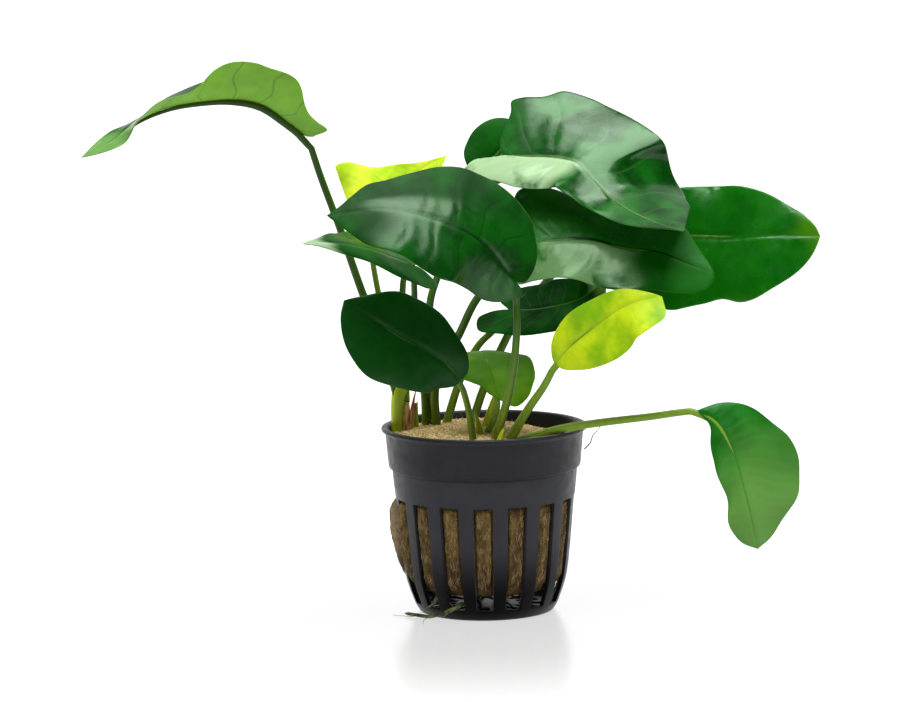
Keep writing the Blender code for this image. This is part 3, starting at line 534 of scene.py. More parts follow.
class Look:
    """A material, with short ways to add nodes to it. All but node return a socket or set one."""

    def __init__(self, name, roughness, colour=(0.5, 0.5, 0.5)):
        self.material = bpy.data.materials.new(name)
        self.material.use_nodes = True
        self.tree = self.material.node_tree
        self.shader = self.tree.nodes["Principled BSDF"]
        self.shader.inputs["Base Color"].default_value = (*colour, 1)
        self.shader.inputs["Roughness"].default_value = roughness

    def node(self, kind, **settings):
        made = self.tree.nodes.new(kind)
        for key, value in settings.items():
            setattr(made, key, value)
        return made

    def put(self, value, socket):
        """A socket's value, or a link to it."""
        if isinstance(value, bpy.types.NodeSocket):
            self.tree.links.new(value, socket)
        elif isinstance(value, tuple):
            socket.default_value = (*value, 1)[:len(socket.default_value)]
        else:
            socket.default_value = value

    def set(self, name, value):
        self.put(value, self.shader.inputs[name])

    def math(self, operation, *values):
        made = self.node("ShaderNodeMath", operation=operation)
        for value, socket in zip(values, made.inputs):
            self.put(value, socket)
        return made.outputs[0]

    def place(self):
        """The places along and across a piece, its U and V."""
        source = self.node("ShaderNodeUVMap", uv_map="place")
        split = self.node("ShaderNodeSeparateXYZ")
        self.put(source.outputs[0], split.inputs[0])
        return split.outputs[0], split.outputs[1]

    def blade_place(self, veins):
        """On a blade: along it, out from its midrib with and without a sign, and off the next vein."""
        along, across = self.place()
        signed = self.math("MULTIPLY_ADD", across, 2.0, -1.0)
        between = self.math("PINGPONG", self.math("MULTIPLY", along, float(veins)), 0.5)
        return along, signed, self.math("ABSOLUTE", signed), between

    def coordinate(self, axis):
        """The place along one axis, in metres, as are the heights that the looks use."""
        split = self.node("ShaderNodeSeparateXYZ")
        self.put(self.node("ShaderNodeTexCoord").outputs["Object"], split.inputs[0])
        return split.outputs[axis]

    def height(self):
        return self.coordinate(2)

    def band(self, value, low, high, first=0.0, last=1.0):
        """A value eased from first at low to last at high."""
        made = self.node("ShaderNodeMapRange", interpolation_type="SMOOTHSTEP")
        for name, number in (("Value", value), ("From Min", low), ("From Max", high),
                             ("To Min", first), ("To Max", last)):
            self.put(number, made.inputs[name])
        return made.outputs[0]

    def noise(self, size, detail=3.0, stretch=(1, 1, 1), offset=0.0):
        """Noise with features of this size in millimetres."""
        mapping = self.node("ShaderNodeMapping")
        self.put(self.node("ShaderNodeTexCoord").outputs["Object"], mapping.inputs["Vector"])
        mapping.inputs["Scale"].default_value = stretch
        mapping.inputs["Location"].default_value = (offset, offset, offset)
        made = self.node("ShaderNodeTexNoise")
        self.put(mapping.outputs[0], made.inputs["Vector"])
        made.inputs["Scale"].default_value = 1 / (size * MM)
        made.inputs["Detail"].default_value = detail
        return made.outputs[0]

    def blend(self, share, first, second):
        made = self.node("ShaderNodeMix", data_type="RGBA")
        self.put(share, made.inputs["Factor"])
        colours = [socket for socket in made.inputs if socket.type == "RGBA"]
        self.put(first, colours[0])
        self.put(second, colours[1])
        return [socket for socket in made.outputs if socket.type == "RGBA"][0]

    def fade(self, value, low, high, most=1.0):
        """A value eased from most at low to 0 at high."""
        return self.band(value, low, high, most, 0.0)

    def mottle(self, first, second, size, low, high, most=1.0, **noise):
        """The first colour, with patches of the second where the noise is high."""
        return self.blend(self.band(self.noise(size, **noise), low, high, 0.0, most), first, second)

    def bump(self, height, depth):
        """Bump of this depth in millimetres."""
        made = self.node("ShaderNodeBump")
        made.inputs["Distance"].default_value = depth * MM
        self.put(height, made.inputs["Height"])
        self.set("Normal", made.outputs[0])


def upper_look(name, leaf):
    """The upper side of a blade: two greens, side veins, midrib line, margin, tip and a painted reflection.
    """
    look = Look("leaf_" + name + "_upper", leaf["gloss"])
    along, signed, out, between = look.blade_place(leaf["veins"])
    colour = look.mottle(leaf["deep"], leaf["fresh"], 9, 0.35, 0.7)
    vein = look.math("MULTIPLY", look.fade(between, 0.0, 0.045), look.fade(out, 0.6, 1.0, leaf["vein_line"]))
    colour = look.blend(vein, colour, leaf["line"])
    if leaf["tip"]:
        tip_colour, start, spread = leaf["tip"]
        colour = look.blend(look.band(along, start - spread, start + spread), colour, tip_colour)
    # Pale patches on the right half: a painted reflection of the wet skin, not a coating.
    if leaf["painted_gloss"]:
        painted_gloss_colour, strength, end, size = leaf["painted_gloss"]
        ragged = look.band(look.noise(size, 5, offset=8), 0.33, 0.46)
        right_half = look.fade(signed, -0.08, -0.02, strength)
        painted_gloss = look.math("MULTIPLY", look.math("MULTIPLY", ragged, right_half),
                         look.fade(along, end - 0.12, end))
        colour = look.blend(painted_gloss, colour, painted_gloss_colour)
    colour = look.blend(look.fade(out, 0.012, 0.032, leaf["midrib_line"]), colour, leaf["line"])
    colour = look.blend(look.band(out, 0.985, 1.0, 0.0, 0.5), colour, leaf["under"])
    look.set("Base Color", colour)
    look.set("Specular IOR Level", leaf["shine"])
    look.set("Specular Tint", WET_TINT)
    rough = look.band(look.noise(3.5, 4, offset=3), 0.3, 0.7, leaf["gloss"] - 0.05, leaf["gloss"] + 0.08)
    if leaf["dull"]:
        ways = {"along": along, "right": look.math("MULTIPLY", signed, -1.0)}
        dull = 0.0
        for way, low, high, turn in leaf["dull"]:
            ends = (0.0, 1.0) if turn > 0 else (1.0, 0.0)
            dull = look.math("MAXIMUM", dull, look.band(ways[way], low, high, *ends))
        rough = look.math("MAXIMUM", rough, look.math("MULTIPLY", dull, DULL_SKIN))
        look.set("Specular Tint", look.blend(dull, WET_TINT, DULL_TINT))
    look.set("Roughness", rough)
    if leaf["glow"]:
        look.set("Subsurface Weight", leaf["glow"])
        look.shader.inputs["Subsurface Radius"].default_value = (1.0, 1.0, 0.25)
        look.set("Subsurface Scale", 1.5 * MM)
    look.bump(look.noise(0.7, 4), 0.015)
    return look.material


def lower_look(name, leaf):
    """The lower side of a blade: paler, with darker side veins."""
    look = Look("leaf_" + name + "_lower", 0.5)
    along, _, out, between = look.blade_place(leaf["veins"])
    under = leaf["under"]
    colour = look.mottle(under, shaded(under, 0.75), 7, 0.3, 0.75, detail=4)
    colour = look.blend(look.fade(between, 0.008, 0.04, 0.7), colour, shaded(under, 0.45))
    colour = look.blend(look.fade(out, 0.03, 0.07, 0.8), colour, leaf["line"])
    colour = look.blend(look.band(along, 0.8, 0.92), colour, shaded(under, 0.5))
    look.set("Base Color", colour)
    look.bump(look.noise(0.8, 4), 0.05)
    return look.material


# Leaves

def fine_blade(name, leaf, look):
    """A thin blade with a midrib groove, troughs along its side veins and a waved margin."""
    grid = Blade(leaf).grid(BLADE_ROWS, BLADE_COLUMNS)
    rows, columns = BLADE_ROWS, 2 * BLADE_COLUMNS
    normal = np.cross(np.gradient(grid, axis=0), np.gradient(grid, axis=1))
    normal /= np.maximum(np.linalg.norm(normal, axis=2, keepdims=True), 1e-9)
    share, signed = np.meshgrid(np.linspace(0, 1, rows + 1), np.linspace(-1, 1, columns + 1), indexing="ij")
    signed = np.sign(signed) * (1 - (1 - np.abs(signed)) ** COLUMN_CROWDING)
    out = np.abs(signed)
    seed = sum(map(ord, name))
    along = share + 0.5 / look["veins"] * (signed > 0) + 0.012 * np.sin(7 * signed + 9 * share + seed)
    reach = np.linalg.norm(grid - grid[:, BLADE_COLUMNS:BLADE_COLUMNS + 1], axis=2)
    between = np.abs((along * look["veins"] + 0.5) % 1 - 0.5)
    inland = np.clip(np.sin(math.pi * np.clip(out, 0, 1)), 0, 1) ** 0.5
    ends = np.clip(np.sin(math.pi * share), 0, 1) ** 0.5
    trough = -look["relief"] * np.exp(-(between / TROUGH_WIDTH) ** 2) * inland * ends
    trough += 0.5 * look["relief"] * np.cos(2 * math.pi * between) * inland * ends
    height, waves = look["ripple"]
    ripple = height * out ** 3 * np.sin(2 * math.pi * (waves * share + 0.3 * (signed > 0)) + seed) * ends
    swell = np.array([[noise.noise(Vector(point) / WAVE_SIZE + Vector((seed, 0, 0))) for point in row]
                      for row in grid]) * look["wave"] * ends
    lift = trough + ripple + swell
    groove = MIDRIB_GROOVE * np.exp(-(reach / GROOVE_WIDTH) ** 2) * ends
    half = BLADE_THICKNESS / 2 * np.sqrt(np.clip(1 - out ** 8, 0, 1)) * np.clip(ends * 3, 0.3, 1)
    places, points, index = [], [], {}

    def vertex(row, column, skin):
        key = (row, 0, 0) if row in (0, rows) else (row, column, 0 if column in (0, columns) else skin)
        if key not in index:
            index[key] = len(points)
            shift = lift[row, column] + key[2] * half[row, column]
            if key[2] == 1:
                shift -= groove[row, column]
            points.append(grid[row, column] + shift * normal[row, column])
            places.append((along[row, column], signed[row, column] / 2 + 0.5))
        return index[key]

    faces, skins = [], []
    for skin in (1, -1):
        for row in range(rows):
            for column in range(columns):
                corners = [vertex(row, column, skin), vertex(row, column + 1, skin),
                           vertex(row + 1, column + 1, skin), vertex(row + 1, column, skin)]
                ring = list(dict.fromkeys(corners))
                faces.append(ring[::-1] if skin == 1 else ring)
                skins.append(int(skin == -1))
    both_looks = [upper_look(name, look), lower_look(name, look)]
    piece = piece_from("blade_" + name, points, faces, both_looks, places)
    piece.data.polygons.foreach_set("material_index", skins)
    return piece


# Petioles, crown, shoots and roots

def wool_top(x, y):
    """Height of the wool's gently domed top, which sinks on the right."""
    dome = WOOL_DOME * (1 - (x * x + y * y) / WOOL_TOP_RADIUS ** 2)
    return WOOL_EDGE_HEIGHT + dome - WOOL_SINK * max(x, 0)


def stem_look(name, foot, top, spots=0.0):
    """Skin of a stem: one colour low down and another higher up, streaks along it, and a dark side that is
    partly a groove's line and partly painted shade.
    """
    look = Look(name, 0.36)
    colour = look.blend(look.band(look.height(), *STEM_FADE), foot, top)
    streaks = look.noise(1.2, stretch=(1, 1, 0.15))
    colour = look.blend(look.band(streaks, 0.35, 0.75, 0.0, 0.55), colour, shaded(top, 1.7))
    # A dark strip down one side: partly the groove's darker line, partly painted shade.
    side = look.math("PINGPONG", look.place()[1], 0.5)
    colour = look.blend(look.band(side, 0.25, 0.42, 0.0, 0.7), colour, shaded(top, 0.3))
    if spots:
        colour = look.mottle(colour, (0.09, 0.04, 0.01), 1.6, 0.6, 0.72, spots, offset=5)
    look.set("Base Color", colour)
    look.set("Specular IOR Level", 0.25)
    look.bump(streaks, 0.12)
    return look.material


def stem_path(leaf):
    """The petiole's smooth route from inside the wool, carried on under the blade's midrib."""
    blade = Blade(leaf)
    route, foot, top = leaf["petiole"]
    x, y, height = route[0]
    if height < CROWN_TOP:
        route = [(x, y, wool_top(x, y) + 0.3)] + route[1:]
    start = np.array(route[0])
    down = start - smooth(route)[6]
    root = start + STEM_SINK * down / np.linalg.norm(down)
    petiole = smooth([tuple(root)] + route)
    radii = list(foot + (top - foot) * shares(petiole)[:-4])
    under = []
    for share in np.linspace(0.04, MIDRIB_REACH, UNDER_POINTS):
        point, _, up = blade.axis(share * blade.length)
        width = top * (1 - share) ** 0.8
        under.append(point - (0.85 * width + 0.2) * up)
        radii.append(width + 0.1)
    path = np.vstack([petiole[:-4], under])
    even = np.linspace(0, distances(path)[-1], STEM_POINTS)
    return at_distance(path, even), np.interp(even, distances(path), radii)


def crown_mesh(look, sheath):
    """The thick stem on the left with its papery sheath."""
    x, y = CROWN_CENTRE
    foot = wool_top(x, y) - 2
    share = np.linspace(0, 1, 24)
    heights = foot + (CROWN_TOP + 2.2 - foot) * share
    path = np.c_[x - 0.4 * np.sin(math.pi * share), np.full(24, y), heights]
    radii = CROWN_RADIUS - 0.35 * share - 0.9 * np.clip(share - 0.85, 0, 1) / 0.15
    add_parts("crown_stem", [tube_parts(path, radii, 24)], look, "leaf_pale", "crown")
    flaps = []
    columns, rows = 10, 12
    for turn, width, tall, lean in CROWN_FLAPS:
        points, places = [], []
        for row in range(rows + 1):
            rise = row / rows
            for column in range(columns + 1):
                spread = (column / columns - 0.5) * (1 - 0.75 * rise ** 2)
                radius = CROWN_RADIUS + 0.05 + lean * rise ** 2 + 0.15 * math.sin(5 * spread + 3 * rise)
                points.append(np.add((x, y, foot + 1), polar(radius, turn + width * spread, tall * rise)))
                places.append((rise, column / columns))
        flaps.append((np.array(points), row_faces(rows + 1, columns + 1, closed=False), np.array(places)))
    points, faces, places = joined(flaps)
    piece = piece_from("crown_sheath", points, faces, [sheath], places)
    thicken(piece, 0.15)
    finish_piece(piece, "root")


def thicken(piece, thickness):
    """Gives a sheet its thickness, applied to the mesh."""
    solid = piece.modifiers.new("thickness", "SOLIDIFY")
    solid.thickness = thickness * MM
    apply_modifiers(piece)


def apply_modifiers(piece):
    graph = bpy.context.evaluated_depsgraph_get()
    made = bpy.data.meshes.new_from_object(piece.evaluated_get(graph))
    old = piece.data
    piece.modifiers.clear()
    piece.data = made
    made.name = old.name + "_done"
    bpy.data.meshes.remove(old)


def shoot_parts(route, foot, top):
    """A pointed young sheath."""
    x, y, _ = route[0]
    path = smooth([(x, y, wool_top(x, y) - 1)] + route[1:])
    share = shares(path)
    radii = foot * (1 - share ** 2) + top * share ** 2 * np.sqrt(np.clip(1.02 - share, 0, 1)) + 0.03
    return tube_parts(path, radii, 12, 0.8)


def random_place(reach):
    """A random place on a disc of this radius."""
    radius, angle = reach * math.sqrt(rng.uniform()), rng.uniform(0, 2 * math.pi)
    return radius * math.cos(angle), radius * math.sin(angle)


def wandering(start, step, count, wobble, bend, low=None):
    """A random fibre's path: it keeps its direction but wanders."""
    point, heading = np.array(start, float), np.array(step, float)
    path = [point.copy()]
    for _ in range(count):
        heading = heading + rng.normal(0, wobble, 3) + np.array(bend)
        heading *= np.linalg.norm(step) / np.linalg.norm(heading)
        point = point + heading
        if low is not None:
            point[2] = max(point[2], low)
        path.append(point.copy())
    return smooth(path, 3)


def roots():
    """The root ends that leave the slots, the hair-fine roots and the dark roots under the plug."""
    dark = Look("root_skin", 0.55)
    dark.set("Base Color", dark.mottle((0.012, 0.02, 0.005), (0.1, 0.17, 0.02), 1.5, 0.4, 0.62, detail=4))
    dark.bump(dark.noise(0.5, 4), 0.25)
    parts = []
    for route, foot, top in ROOTS.values():
        path = smooth(route)
        share = shares(path)
        radii = foot + (top - foot) * share + 0.12 * np.sin(9 * share + foot) * (1 - share)
        radii[-3:] *= (0.8, 0.5, 0.2)
        parts.append(tube_parts(path, radii, 12, 0.85))
    add_parts("root_ends", parts, dark.material, "root", "root_long", "root_short")
    hair = Look("root_hair", 0.6, (0.2, 0.17, 0.09)).material
    black = Look("root_mass", 0.5, (0.012, 0.007, 0.005)).material
    parts = []
    for start, step in HAIRS:
        path = wandering(start, step, 6, 0.3, (0, 0, -0.05), low=0.25)
        parts.append(tube_parts(path, np.linspace(0.12, 0.05, len(path)), 5))
    loose = smooth(LOOSE_ROOT)
    parts.append(tube_parts(loose, np.linspace(0.22, 0.06, len(loose)), 6))
    add_parts("root_hairs", parts, hair, "root")
    parts = []
    for _ in range(MASS_ROOTS):
        angle, radius = rng.uniform(0, 2 * math.pi), MASS_START * math.sqrt(rng.uniform())
        start = (radius * math.cos(angle), radius * math.sin(angle), rng.uniform(*MASS_HEIGHTS))
        path = wandering(start, rng.normal(0, 0.9, 3), 9, 0.35, (0, 0, -0.12), low=MASS_LOW)
        path = path[:max(8, np.argmax(np.hypot(path[:, 0], path[:, 1]) > MASS_REACH))]
        parts.append(tube_parts(path, np.linspace(0.45, 0.2, len(path)), 6))
    add_parts("root_mass", parts, black, "root")


# Rock wool

def wool_look():
    look = Look("wool", 0.95)
    colour = look.mottle((0.065, 0.038, 0.01), (0.22, 0.14, 0.042), 2.4, 0.3, 0.7,
                         detail=5, stretch=(1, 1, 0.3))
    colour = look.mottle(colour, (0.42, 0.29, 0.11), 0.7, 0.5, 0.72, 0.6,
                         detail=5, stretch=(1, 1, 0.2), offset=2)
    # Painted light: the leftmost pads are paler, where light falls on the pot's left side.
    colour = look.blend(look.fade(look.coordinate(0), *PAINTED_LIT_PADS, 0.75), colour, (0.6, 0.46, 0.28))
    colour = look.blend(look.fade(look.height(), *WOOL_LOW_FADE, 0.55), colour, (0.03, 0.018, 0.006))
    gold = look.mottle((0.56, 0.37, 0.13), (0.95, 0.78, 0.44), 0.8, 0.35, 0.65, detail=5, offset=4)
    look.set("Base Color", look.blend(look.band(look.height(), *WOOL_TOP_FADE), colour, gold))
    look.set("Specular IOR Level", 0.2)
    look.bump(look.noise(0.5, 5), 0.5)
    return look.material


def wall_radius(height):
    radii, heights = zip(*(BASE_CURVE + COLLAR))
    return float(np.interp(height, heights, radii))


def slot_opening(angle):
    """1 in the middle of a slot, 0 behind a bar."""
    off = abs((angle - FIRST_SLOT + SLOT_PITCH / 2) % SLOT_PITCH - SLOT_PITCH / 2)
    return min(max((SLOT_HALF_ANGLE - 0.5 - off) / 1.6, 0), 1)


def pad_reach(angle, height):
    """How far the wool stands beyond the pot's inside there."""
    opening = slot_opening(angle)
    opening = opening * opening * (3 - 2 * opening)
    leftward = max(0.0, -math.cos(math.radians(angle))) ** 10
    belly = np.interp(height, PAD_HEIGHTS, PAD_BELLY)
    return opening * (0.9 * min(belly * 3, 1) + LEFT_PAD_BULGE * leftward * belly)


def wool_mesh(look):
    """The plug's side with its pads in the slots, and its granular top."""
    turns, levels, rings = 576, 90, 60
    angles = np.arange(turns) * 360 / turns
    heights = np.linspace(WOOL_BOTTOM, WOOL_EDGE_HEIGHT - 4, levels)
    points = []
    for height in heights:
        inside = wall_radius(height) - WALL - WOOL_GAP
        for angle in angles:
            reach = pad_reach(angle, height)
            x, y, _ = polar(1, angle, 0)
            rough = noise.fractal(Vector((x * inside, y * inside, height * 0.7)) / 1.6, 1.0, 2.0, 4)
            ragged = 0.5 * noise.noise(Vector((x * 9, y * 9, 3)))
            hollow = 0.9 * max(0.0, 1 - (height - WOOL_BOTTOM) / 3) + 0.45 * rough * min(reach, 1)
            radius = inside + reach - abs(hollow) - (0.2 if reach < 0.05 else 0)
            points.append((radius * x, radius * y,
                           height + ragged * max(0.0, 1 - (height - WOOL_BOTTOM) / 8)))
    edge = wall_radius(WOOL_EDGE_HEIGHT - 1) - WALL - WOOL_GAP
    for ring in range(1, rings):
        radius = edge * (1 - ring / rings) ** 0.9
        for angle in angles:
            x, y, _ = polar(radius, angle, 0)
            bump = 0.3 * noise.fractal(Vector((x, y, 7)) / 1.3, 1.0, 2.0, 4)
            points.append((x, y, wool_top(x, y) + bump - 0.5 * max(0.0, radius / edge - 0.93) / 0.07))
    points.append((0, 0, wool_top(0, 0)))
    layers = levels + rings - 1
    faces = row_faces(layers, turns)
    faces += [((layers - 1) * turns + k, (layers - 1) * turns + (k + 1) % turns, layers * turns)
              for k in range(turns)]
    faces.append(tuple(range(turns))[::-1])
    finish_piece(piece_from("wool_plug", points, faces, [look]), "rock_wool", "rock_wool")


def wool_fibres(look):
    """Loose fibres that lie on the pads and the top."""
    parts = []
    for _ in range(PAD_FIBRES):
        slot = rng.integers(SLOTS)
        angle = FIRST_SLOT + slot * SLOT_PITCH + rng.uniform(-4.6, 4.6)
        height = rng.uniform(*FIBRE_STARTS)
        path = []
        lean, wander = rng.normal(0, 0.5), rng.normal(0, 0.25)
        for step in range(6):
            z = height + step * FIBRE_STEP
            turn = angle + lean * step * 0.4 + wander * step * step * 0.2
            if z > FIBRE_END or slot_opening(turn) < 0.25:
                break
            radius = wall_radius(z) - WALL - WOOL_GAP + pad_reach(turn, z) - rng.uniform(-0.12, 0.25)
            path.append(polar(radius, turn, z))
        if len(path) > 2:
            path = smooth(path, 2)
            parts.append(tube_parts(path, np.full(len(path), rng.uniform(0.03, 0.07)), 4))
    for _ in range(TOP_FIBRES):
        x, y = random_place(TOP_FIBRE_REACH)
        heading = rng.uniform(0, 2 * math.pi)
        step = (0.8 * math.cos(heading), 0.8 * math.sin(heading), rng.uniform(-0.05, 0.12))
        path = [p for p in wandering((x, y, wool_top(x, y) + 0.1), step, 4, 0.25, (0, 0, 0))
                if math.hypot(p[0], p[1]) < TOP_FIBRE_END]
        if len(path) > 3:
            parts.append(tube_parts(path, np.full(len(path), rng.uniform(0.03, 0.06)), 4))
    add_parts("wool_fibres", parts, look, "rock_wool")


def wool_grains(look):
    """Sand-like grains on the wool's top."""
    corners = np.array([(1, 0, 0), (-1, 0, 0), (0, 1, 0), (0, -1, 0), (0, 0, 1), (0, 0, -1)], float)
    sides = [(0, 2, 4), (2, 1, 4), (1, 3, 4), (3, 0, 4), (2, 0, 5), (1, 2, 5), (3, 1, 5), (0, 3, 5)]
    parts = []
    for _ in range(GRAINS):
        x, y = random_place(GRAIN_REACH)
        size = rng.uniform(0.08, 0.2)
        turn = np.linalg.qr(rng.normal(size=(3, 3)))[0]
        centre = (x, y, wool_top(x, y) + rng.uniform(-0.1, 0.22))
        grain = (corners * size * rng.uniform(0.7, 1.3, (6, 1))) @ turn + centre
        parts.append((grain, sides, np.tile(rng.uniform(0, 1, 2), (6, 1))))
    add_parts("wool_grains", parts, look, "rock_wool").data.shade_flat()


def grain_look():
    """Golden grains on the top, each a shade of its own."""
    look = Look("wool_grain", 0.7)
    shade, _ = look.place()
    look.set("Base Color", look.blend(shade, (0.58, 0.38, 0.13), (1.0, 0.84, 0.52)))
    return look.material


def fibre_look():
    """Brown fibres on the pads, paler on the top."""
    look = Look("wool_fibre", 0.7)
    side = look.mottle((0.1, 0.06, 0.022), (0.42, 0.3, 0.14), 2.0, 0.35, 0.65, offset=6)
    look.set("Base Color", look.blend(look.band(look.height(), *WOOL_TOP_FADE), side, (0.5, 0.33, 0.12)))
    return look.material


# Net pot

def pot_look():
    look = Look("pot_plastic", 0.4)
    mottle = look.noise(7, 5)
    look.set("Specular IOR Level", 0.22)
    look.set("Sheen Weight", 0.1)
    collar = look.blend(mottle, (0.009, 0.009, 0.012), (0.017, 0.0175, 0.023))
    wall = look.blend(mottle, (0.02, 0.02, 0.026), (0.036, 0.037, 0.046))
    grey = look.blend(look.band(look.height(), *COLLAR_FADE), wall, collar)
    # Painted shade: a dark line in the crease under the collar's step, where the step shades the wall below.
    step = look.math("MULTIPLY", look.band(look.height(), *STEP_SHADE_START), look.fade(look.height(), *STEP_SHADE_END))
    grey = look.blend(look.math("MULTIPLY", step, 0.85), grey, (0.002, 0.002, 0.002))
    # Darker and less reflective towards the base: partly the wet black plastic, partly painted shade of the
    # contact shadow.
    low = look.fade(look.height(), *DARK_FADE)
    look.set("Base Color", look.blend(low, grey, (0.0015, 0.0013, 0.002)))
    look.set("Specular Tint", look.blend(low, (1.0, 1.0, 1.0), (0.1, 0.1, 0.1)))
    wet = look.fade(look.height(), *WET_FADE)
    rough = look.band(look.noise(2.5, 5, offset=1), 0.3, 0.7, 0.32, 0.48)
    mix = look.node("ShaderNodeMix", data_type="FLOAT")
    look.put(wet, mix.inputs["Factor"])
    look.put(rough, mix.inputs[2])
    look.put(0.35, mix.inputs[3])
    look.set("Roughness", mix.outputs[0])
    look.bump(look.noise(0.45, 3), 0.05)
    return look.material


def net_pot(look):
    """The pot turned from one closed section, with its slots left open and every edge rounded a little."""
    lower = smooth(BASE_CURVE[2:], 6)

    def radius_at(z):
        return float(np.interp(z, lower[:, 1], lower[:, 0]))

    slot_rows = [SLOT_BOTTOM, 3.4, 4.4, 5.5, 6.5, 8.5, 10.5, 14, 18.5, 24, 30.6, SLOT_TOP]
    above = [(24.1, 31.9), (24.45, 35), (24.7, 37.8), (24.8, 38.7), (25.05, 39.05), (25.55, 39.25),
             (25.7, 39.7), (26.1, 44), (26.45, 48.2)]
    floor_rows = [FLOOR_SLOT_INNER, 8.9, 11.5, 14.1, FLOOR_SLOT_OUTER]
    top = POT_HEIGHT
    path = [(0, FLOOR), (4, FLOOR)] + [(r, FLOOR) for r in floor_rows] + [(16.6, FLOOR), (17.6, 2.1)]
    path += [(radius_at(z) - WALL, z) for z in slot_rows] + [(r - WALL, z) for r, z in above]
    path += [(RIM_RADIUS - 1.9, top - 0.6), (RIM_RADIUS - 1.6, top - 0.15), (RIM_RADIUS - 1.2, top),
             (RIM_RADIUS - 0.5, top), (RIM_RADIUS - 0.15, top - 0.15), (RIM_RADIUS, top - 0.4),
             (RIM_RADIUS, top - 0.8), (RIM_RADIUS - 0.15, top - 1.0), (RIM_RADIUS - 0.5, top - 1.15)]
    path += above[::-1] + [(radius_at(z), z) for z in slot_rows[::-1]]
    path += [(19.2, 2.4), (18.2, 0.7), (17.7, 0.2), (17.0, 0.0)]
    path += [(r, 0.0) for r in floor_rows[::-1]] + [(4, 0), (0, 0)]
    inner = {z: path.index((radius_at(z) - WALL, z)) for z in slot_rows}
    outer = {z: path.index((radius_at(z), z)) for z in slot_rows}
    floor_top = {r: path.index((r, FLOOR)) for r in floor_rows}
    floor_base = {r: path.index((r, 0.0)) for r in floor_rows}
    offsets = [-SLOT_HALF_ANGLE, -6, -3, 0, 3, 6, SLOT_HALF_ANGLE, 7.4, 9, 11.25, 13.5, 15.1]
    in_slot = offsets.index(SLOT_HALF_ANGLE)
    angles = [FIRST_SLOT + number * SLOT_PITCH + offset for number in range(SLOTS) for offset in offsets]
    count = len(angles)
    points = [polar(radius, angle, height) for radius, height in path for angle in angles]
    open_rows = {min(rows[a], rows[b]) for rows in (inner, outer, floor_top, floor_base)
                 for a, b in zip(list(rows), list(rows)[1:])}

    def at(row, column):
        return row * count + column % count

    faces = []
    for row in range(len(path) - 1):
        for column in range(count):
            if row in open_rows and column % len(offsets) < in_slot:
                continue
            faces.append((at(row, column), at(row + 1, column), at(row + 1, column + 1), at(row, column + 1)))
    for first, second in ((inner, outer), (floor_top, floor_base)):
        keys = list(first)
        for number in range(SLOTS):
            left = number * len(offsets)
            for a, b in zip(keys, keys[1:]):
                for column in (left, left + in_slot):
                    faces.append((at(first[a], column), at(first[b], column),
                                  at(second[b], column), at(second[a], column)))
            for key in (keys[0], keys[-1]):
                for column in range(left, left + in_slot):
                    faces.append((at(first[key], column), at(first[key], column + 1),
                                  at(second[key], column + 1), at(second[key], column)))
    piece = piece_from("pot_shell", points, faces, [look])
    bm = bmesh.new()
    bm.from_mesh(piece.data)
    bmesh.ops.remove_doubles(bm, verts=bm.verts, dist=MERGE_DISTANCE * MM)
    bmesh.ops.dissolve_degenerate(bm, edges=bm.edges, dist=MERGE_DISTANCE * MM)
    bmesh.ops.recalc_face_normals(bm, faces=bm.faces)
    bm.to_mesh(piece.data)
    bm.free()
    bevel = piece.modifiers.new("bevel", "BEVEL")
    bevel.width = SLOT_EDGE_ROUND * MM
    bevel.segments = 2
    bevel.limit_method = "ANGLE"
    bevel.angle_limit = math.radians(ROUND_ANGLE)
    apply_modifiers(piece)
    piece.data.shade_smooth()
    piece.data.set_sharp_from_angle(angle=math.radians(SHARP_ANGLE))
    finish_piece(piece, "pot_plastic", "net_pot")


# Studio

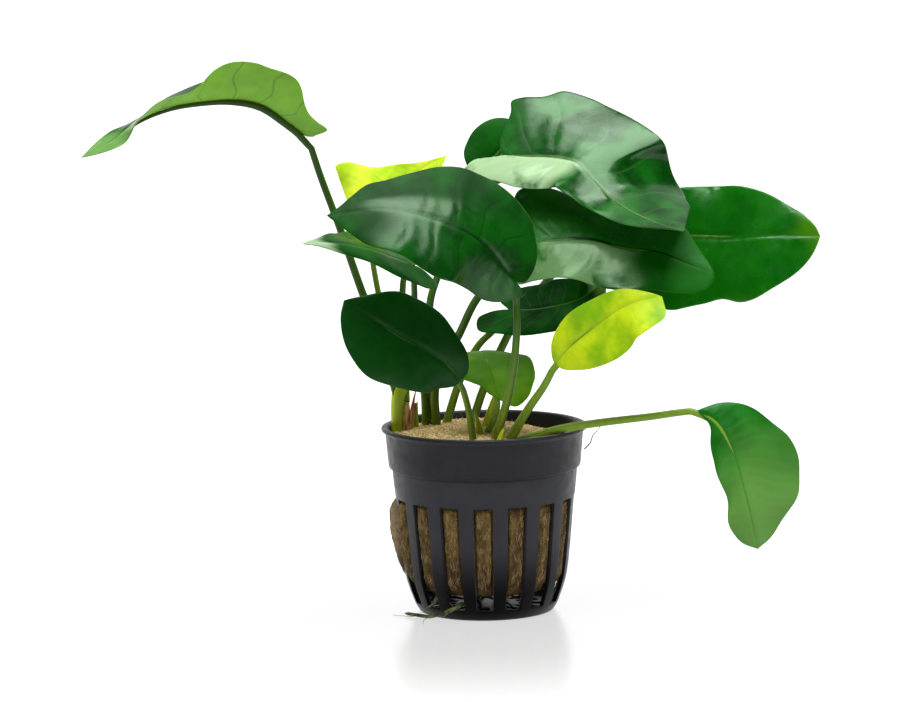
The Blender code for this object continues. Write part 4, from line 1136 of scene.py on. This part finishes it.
def studio():
    """A white sweep that shines a little less near the pot as painted shade, the world's light and the lamps.
    """
    look = Look("studio_white", 0.24, (0.08, 0.08, 0.08))
    look.set("Emission Color", (1.0, 1.0, 1.0))
    length = look.node("ShaderNodeVectorMath", operation="LENGTH")
    look.put(look.node("ShaderNodeTexCoord").outputs["Object"], length.inputs[0])
    # Painted shade: the sweep's own glow is dimmer near the pot.
    look.set("Emission Strength", look.band(length.outputs["Value"], GLOW_START * MM, GLOW_END * MM,
                                            FLOOR_GLOW, FAR_GLOW))
    section = [(FLOOR_FRONT, 0.0), (FLOOR_BACK, 0.0)]
    section += [(FLOOR_BACK + SWEEP_RADIUS * math.sin(math.radians(turn)),
                 SWEEP_RADIUS * (1 - math.cos(math.radians(turn)))) for turn in range(10, 91, 10)]
    section.append((section[-1][0], SWEEP_HEIGHT))
    points = [(x, y, z) for y, z in section for x in (-FLOOR_SIDE, FLOOR_SIDE)]
    piece_from("sweep", points, row_faces(len(section), 2, closed=False), [look.material])
    world = bpy.data.worlds.new("studio")
    world.use_nodes = True
    world.node_tree.nodes["Background"].inputs["Color"].default_value = (1, 1, 1, 1)
    world.node_tree.nodes["Background"].inputs["Strength"].default_value = WORLD_LIGHT
    bpy.context.scene.world = world
    for name, (place, target, sides, brightness) in LIGHTS.items():
        data = bpy.data.lights.new(name, "AREA")
        data.shape = "RECTANGLE"
        data.size, data.size_y = sides[0] * MM, sides[1] * MM
        data.energy = brightness * math.pi * data.size * data.size_y
        light = bpy.data.objects.new(name, data)
        light.location = Vector(place) * MM
        aim = Vector(place) - Vector(target)
        light.rotation_euler = aim.to_track_quat("Z", "Y").to_euler()
        bpy.context.scene.collection.objects.link(light)


def camera():
    data = bpy.data.cameras.new("camera")
    data.lens, data.sensor_width = CAMERA_LENS, CAMERA_SENSOR
    data.clip_start, data.clip_end = CLIP_START, CLIP_END
    view = bpy.data.objects.new("camera", data)
    view.matrix_world = (Matrix.Translation(Vector(CAMERA_PLACE) * MM)
                         @ Matrix.Rotation(math.radians(CAMERA_YAW), 4, "Z")
                         @ Matrix.Rotation(math.radians(90 + CAMERA_PITCH), 4, "X")
                         @ Matrix.Rotation(math.radians(-CAMERA_ROLL), 4, "Z"))
    bpy.context.scene.collection.objects.link(view)
    bpy.context.scene.camera = view


def plant():
    for name, leaf in LEAVES.items():
        look = {**PLAIN_LOOK, **LOOKS[name]}
        slot = "leaf_pale" if name in PALE_BLADES else "leaf_dark"
        finish_piece(fine_blade(name, leaf, look), slot, "leaf_" + name)
        top, spots = (PALE_STEM_TOP, 0.0) if name in PALE_STEMS else (STEM_TOP, 0.35)
        skin = stem_look("petiole_skin_" + name, STEM_FOOT, top, spots)
        path, radii = stem_path(leaf)
        add_parts("stem_" + name, [tube_parts(path, radii, 16)], skin, "petiole", "petiole_" + name)
    young = stem_look("young_skin", (0.5, 0.62, 0.012), (0.42, 0.56, 0.02))
    sheath = Look("sheath_skin", 0.6)
    sheath.set("Base Color", sheath.mottle((0.16, 0.05, 0.012), (0.45, 0.26, 0.1), 1.2, 0.4, 0.6,
                                           detail=4, stretch=(1, 1, 0.2)))
    crown_mesh(young, sheath.material)
    for name, (route, foot, top) in SHOOTS.items():
        add_parts(name + "_sheath", [shoot_parts(route, foot, top)], young, "leaf_pale", name)


bpy.context.scene.view_settings.view_transform = "Standard"
camera()
studio()
net_pot(pot_look())
wool_mesh(wool_look())
wool_fibres(fibre_look())
wool_grains(grain_look())
roots()
plant()
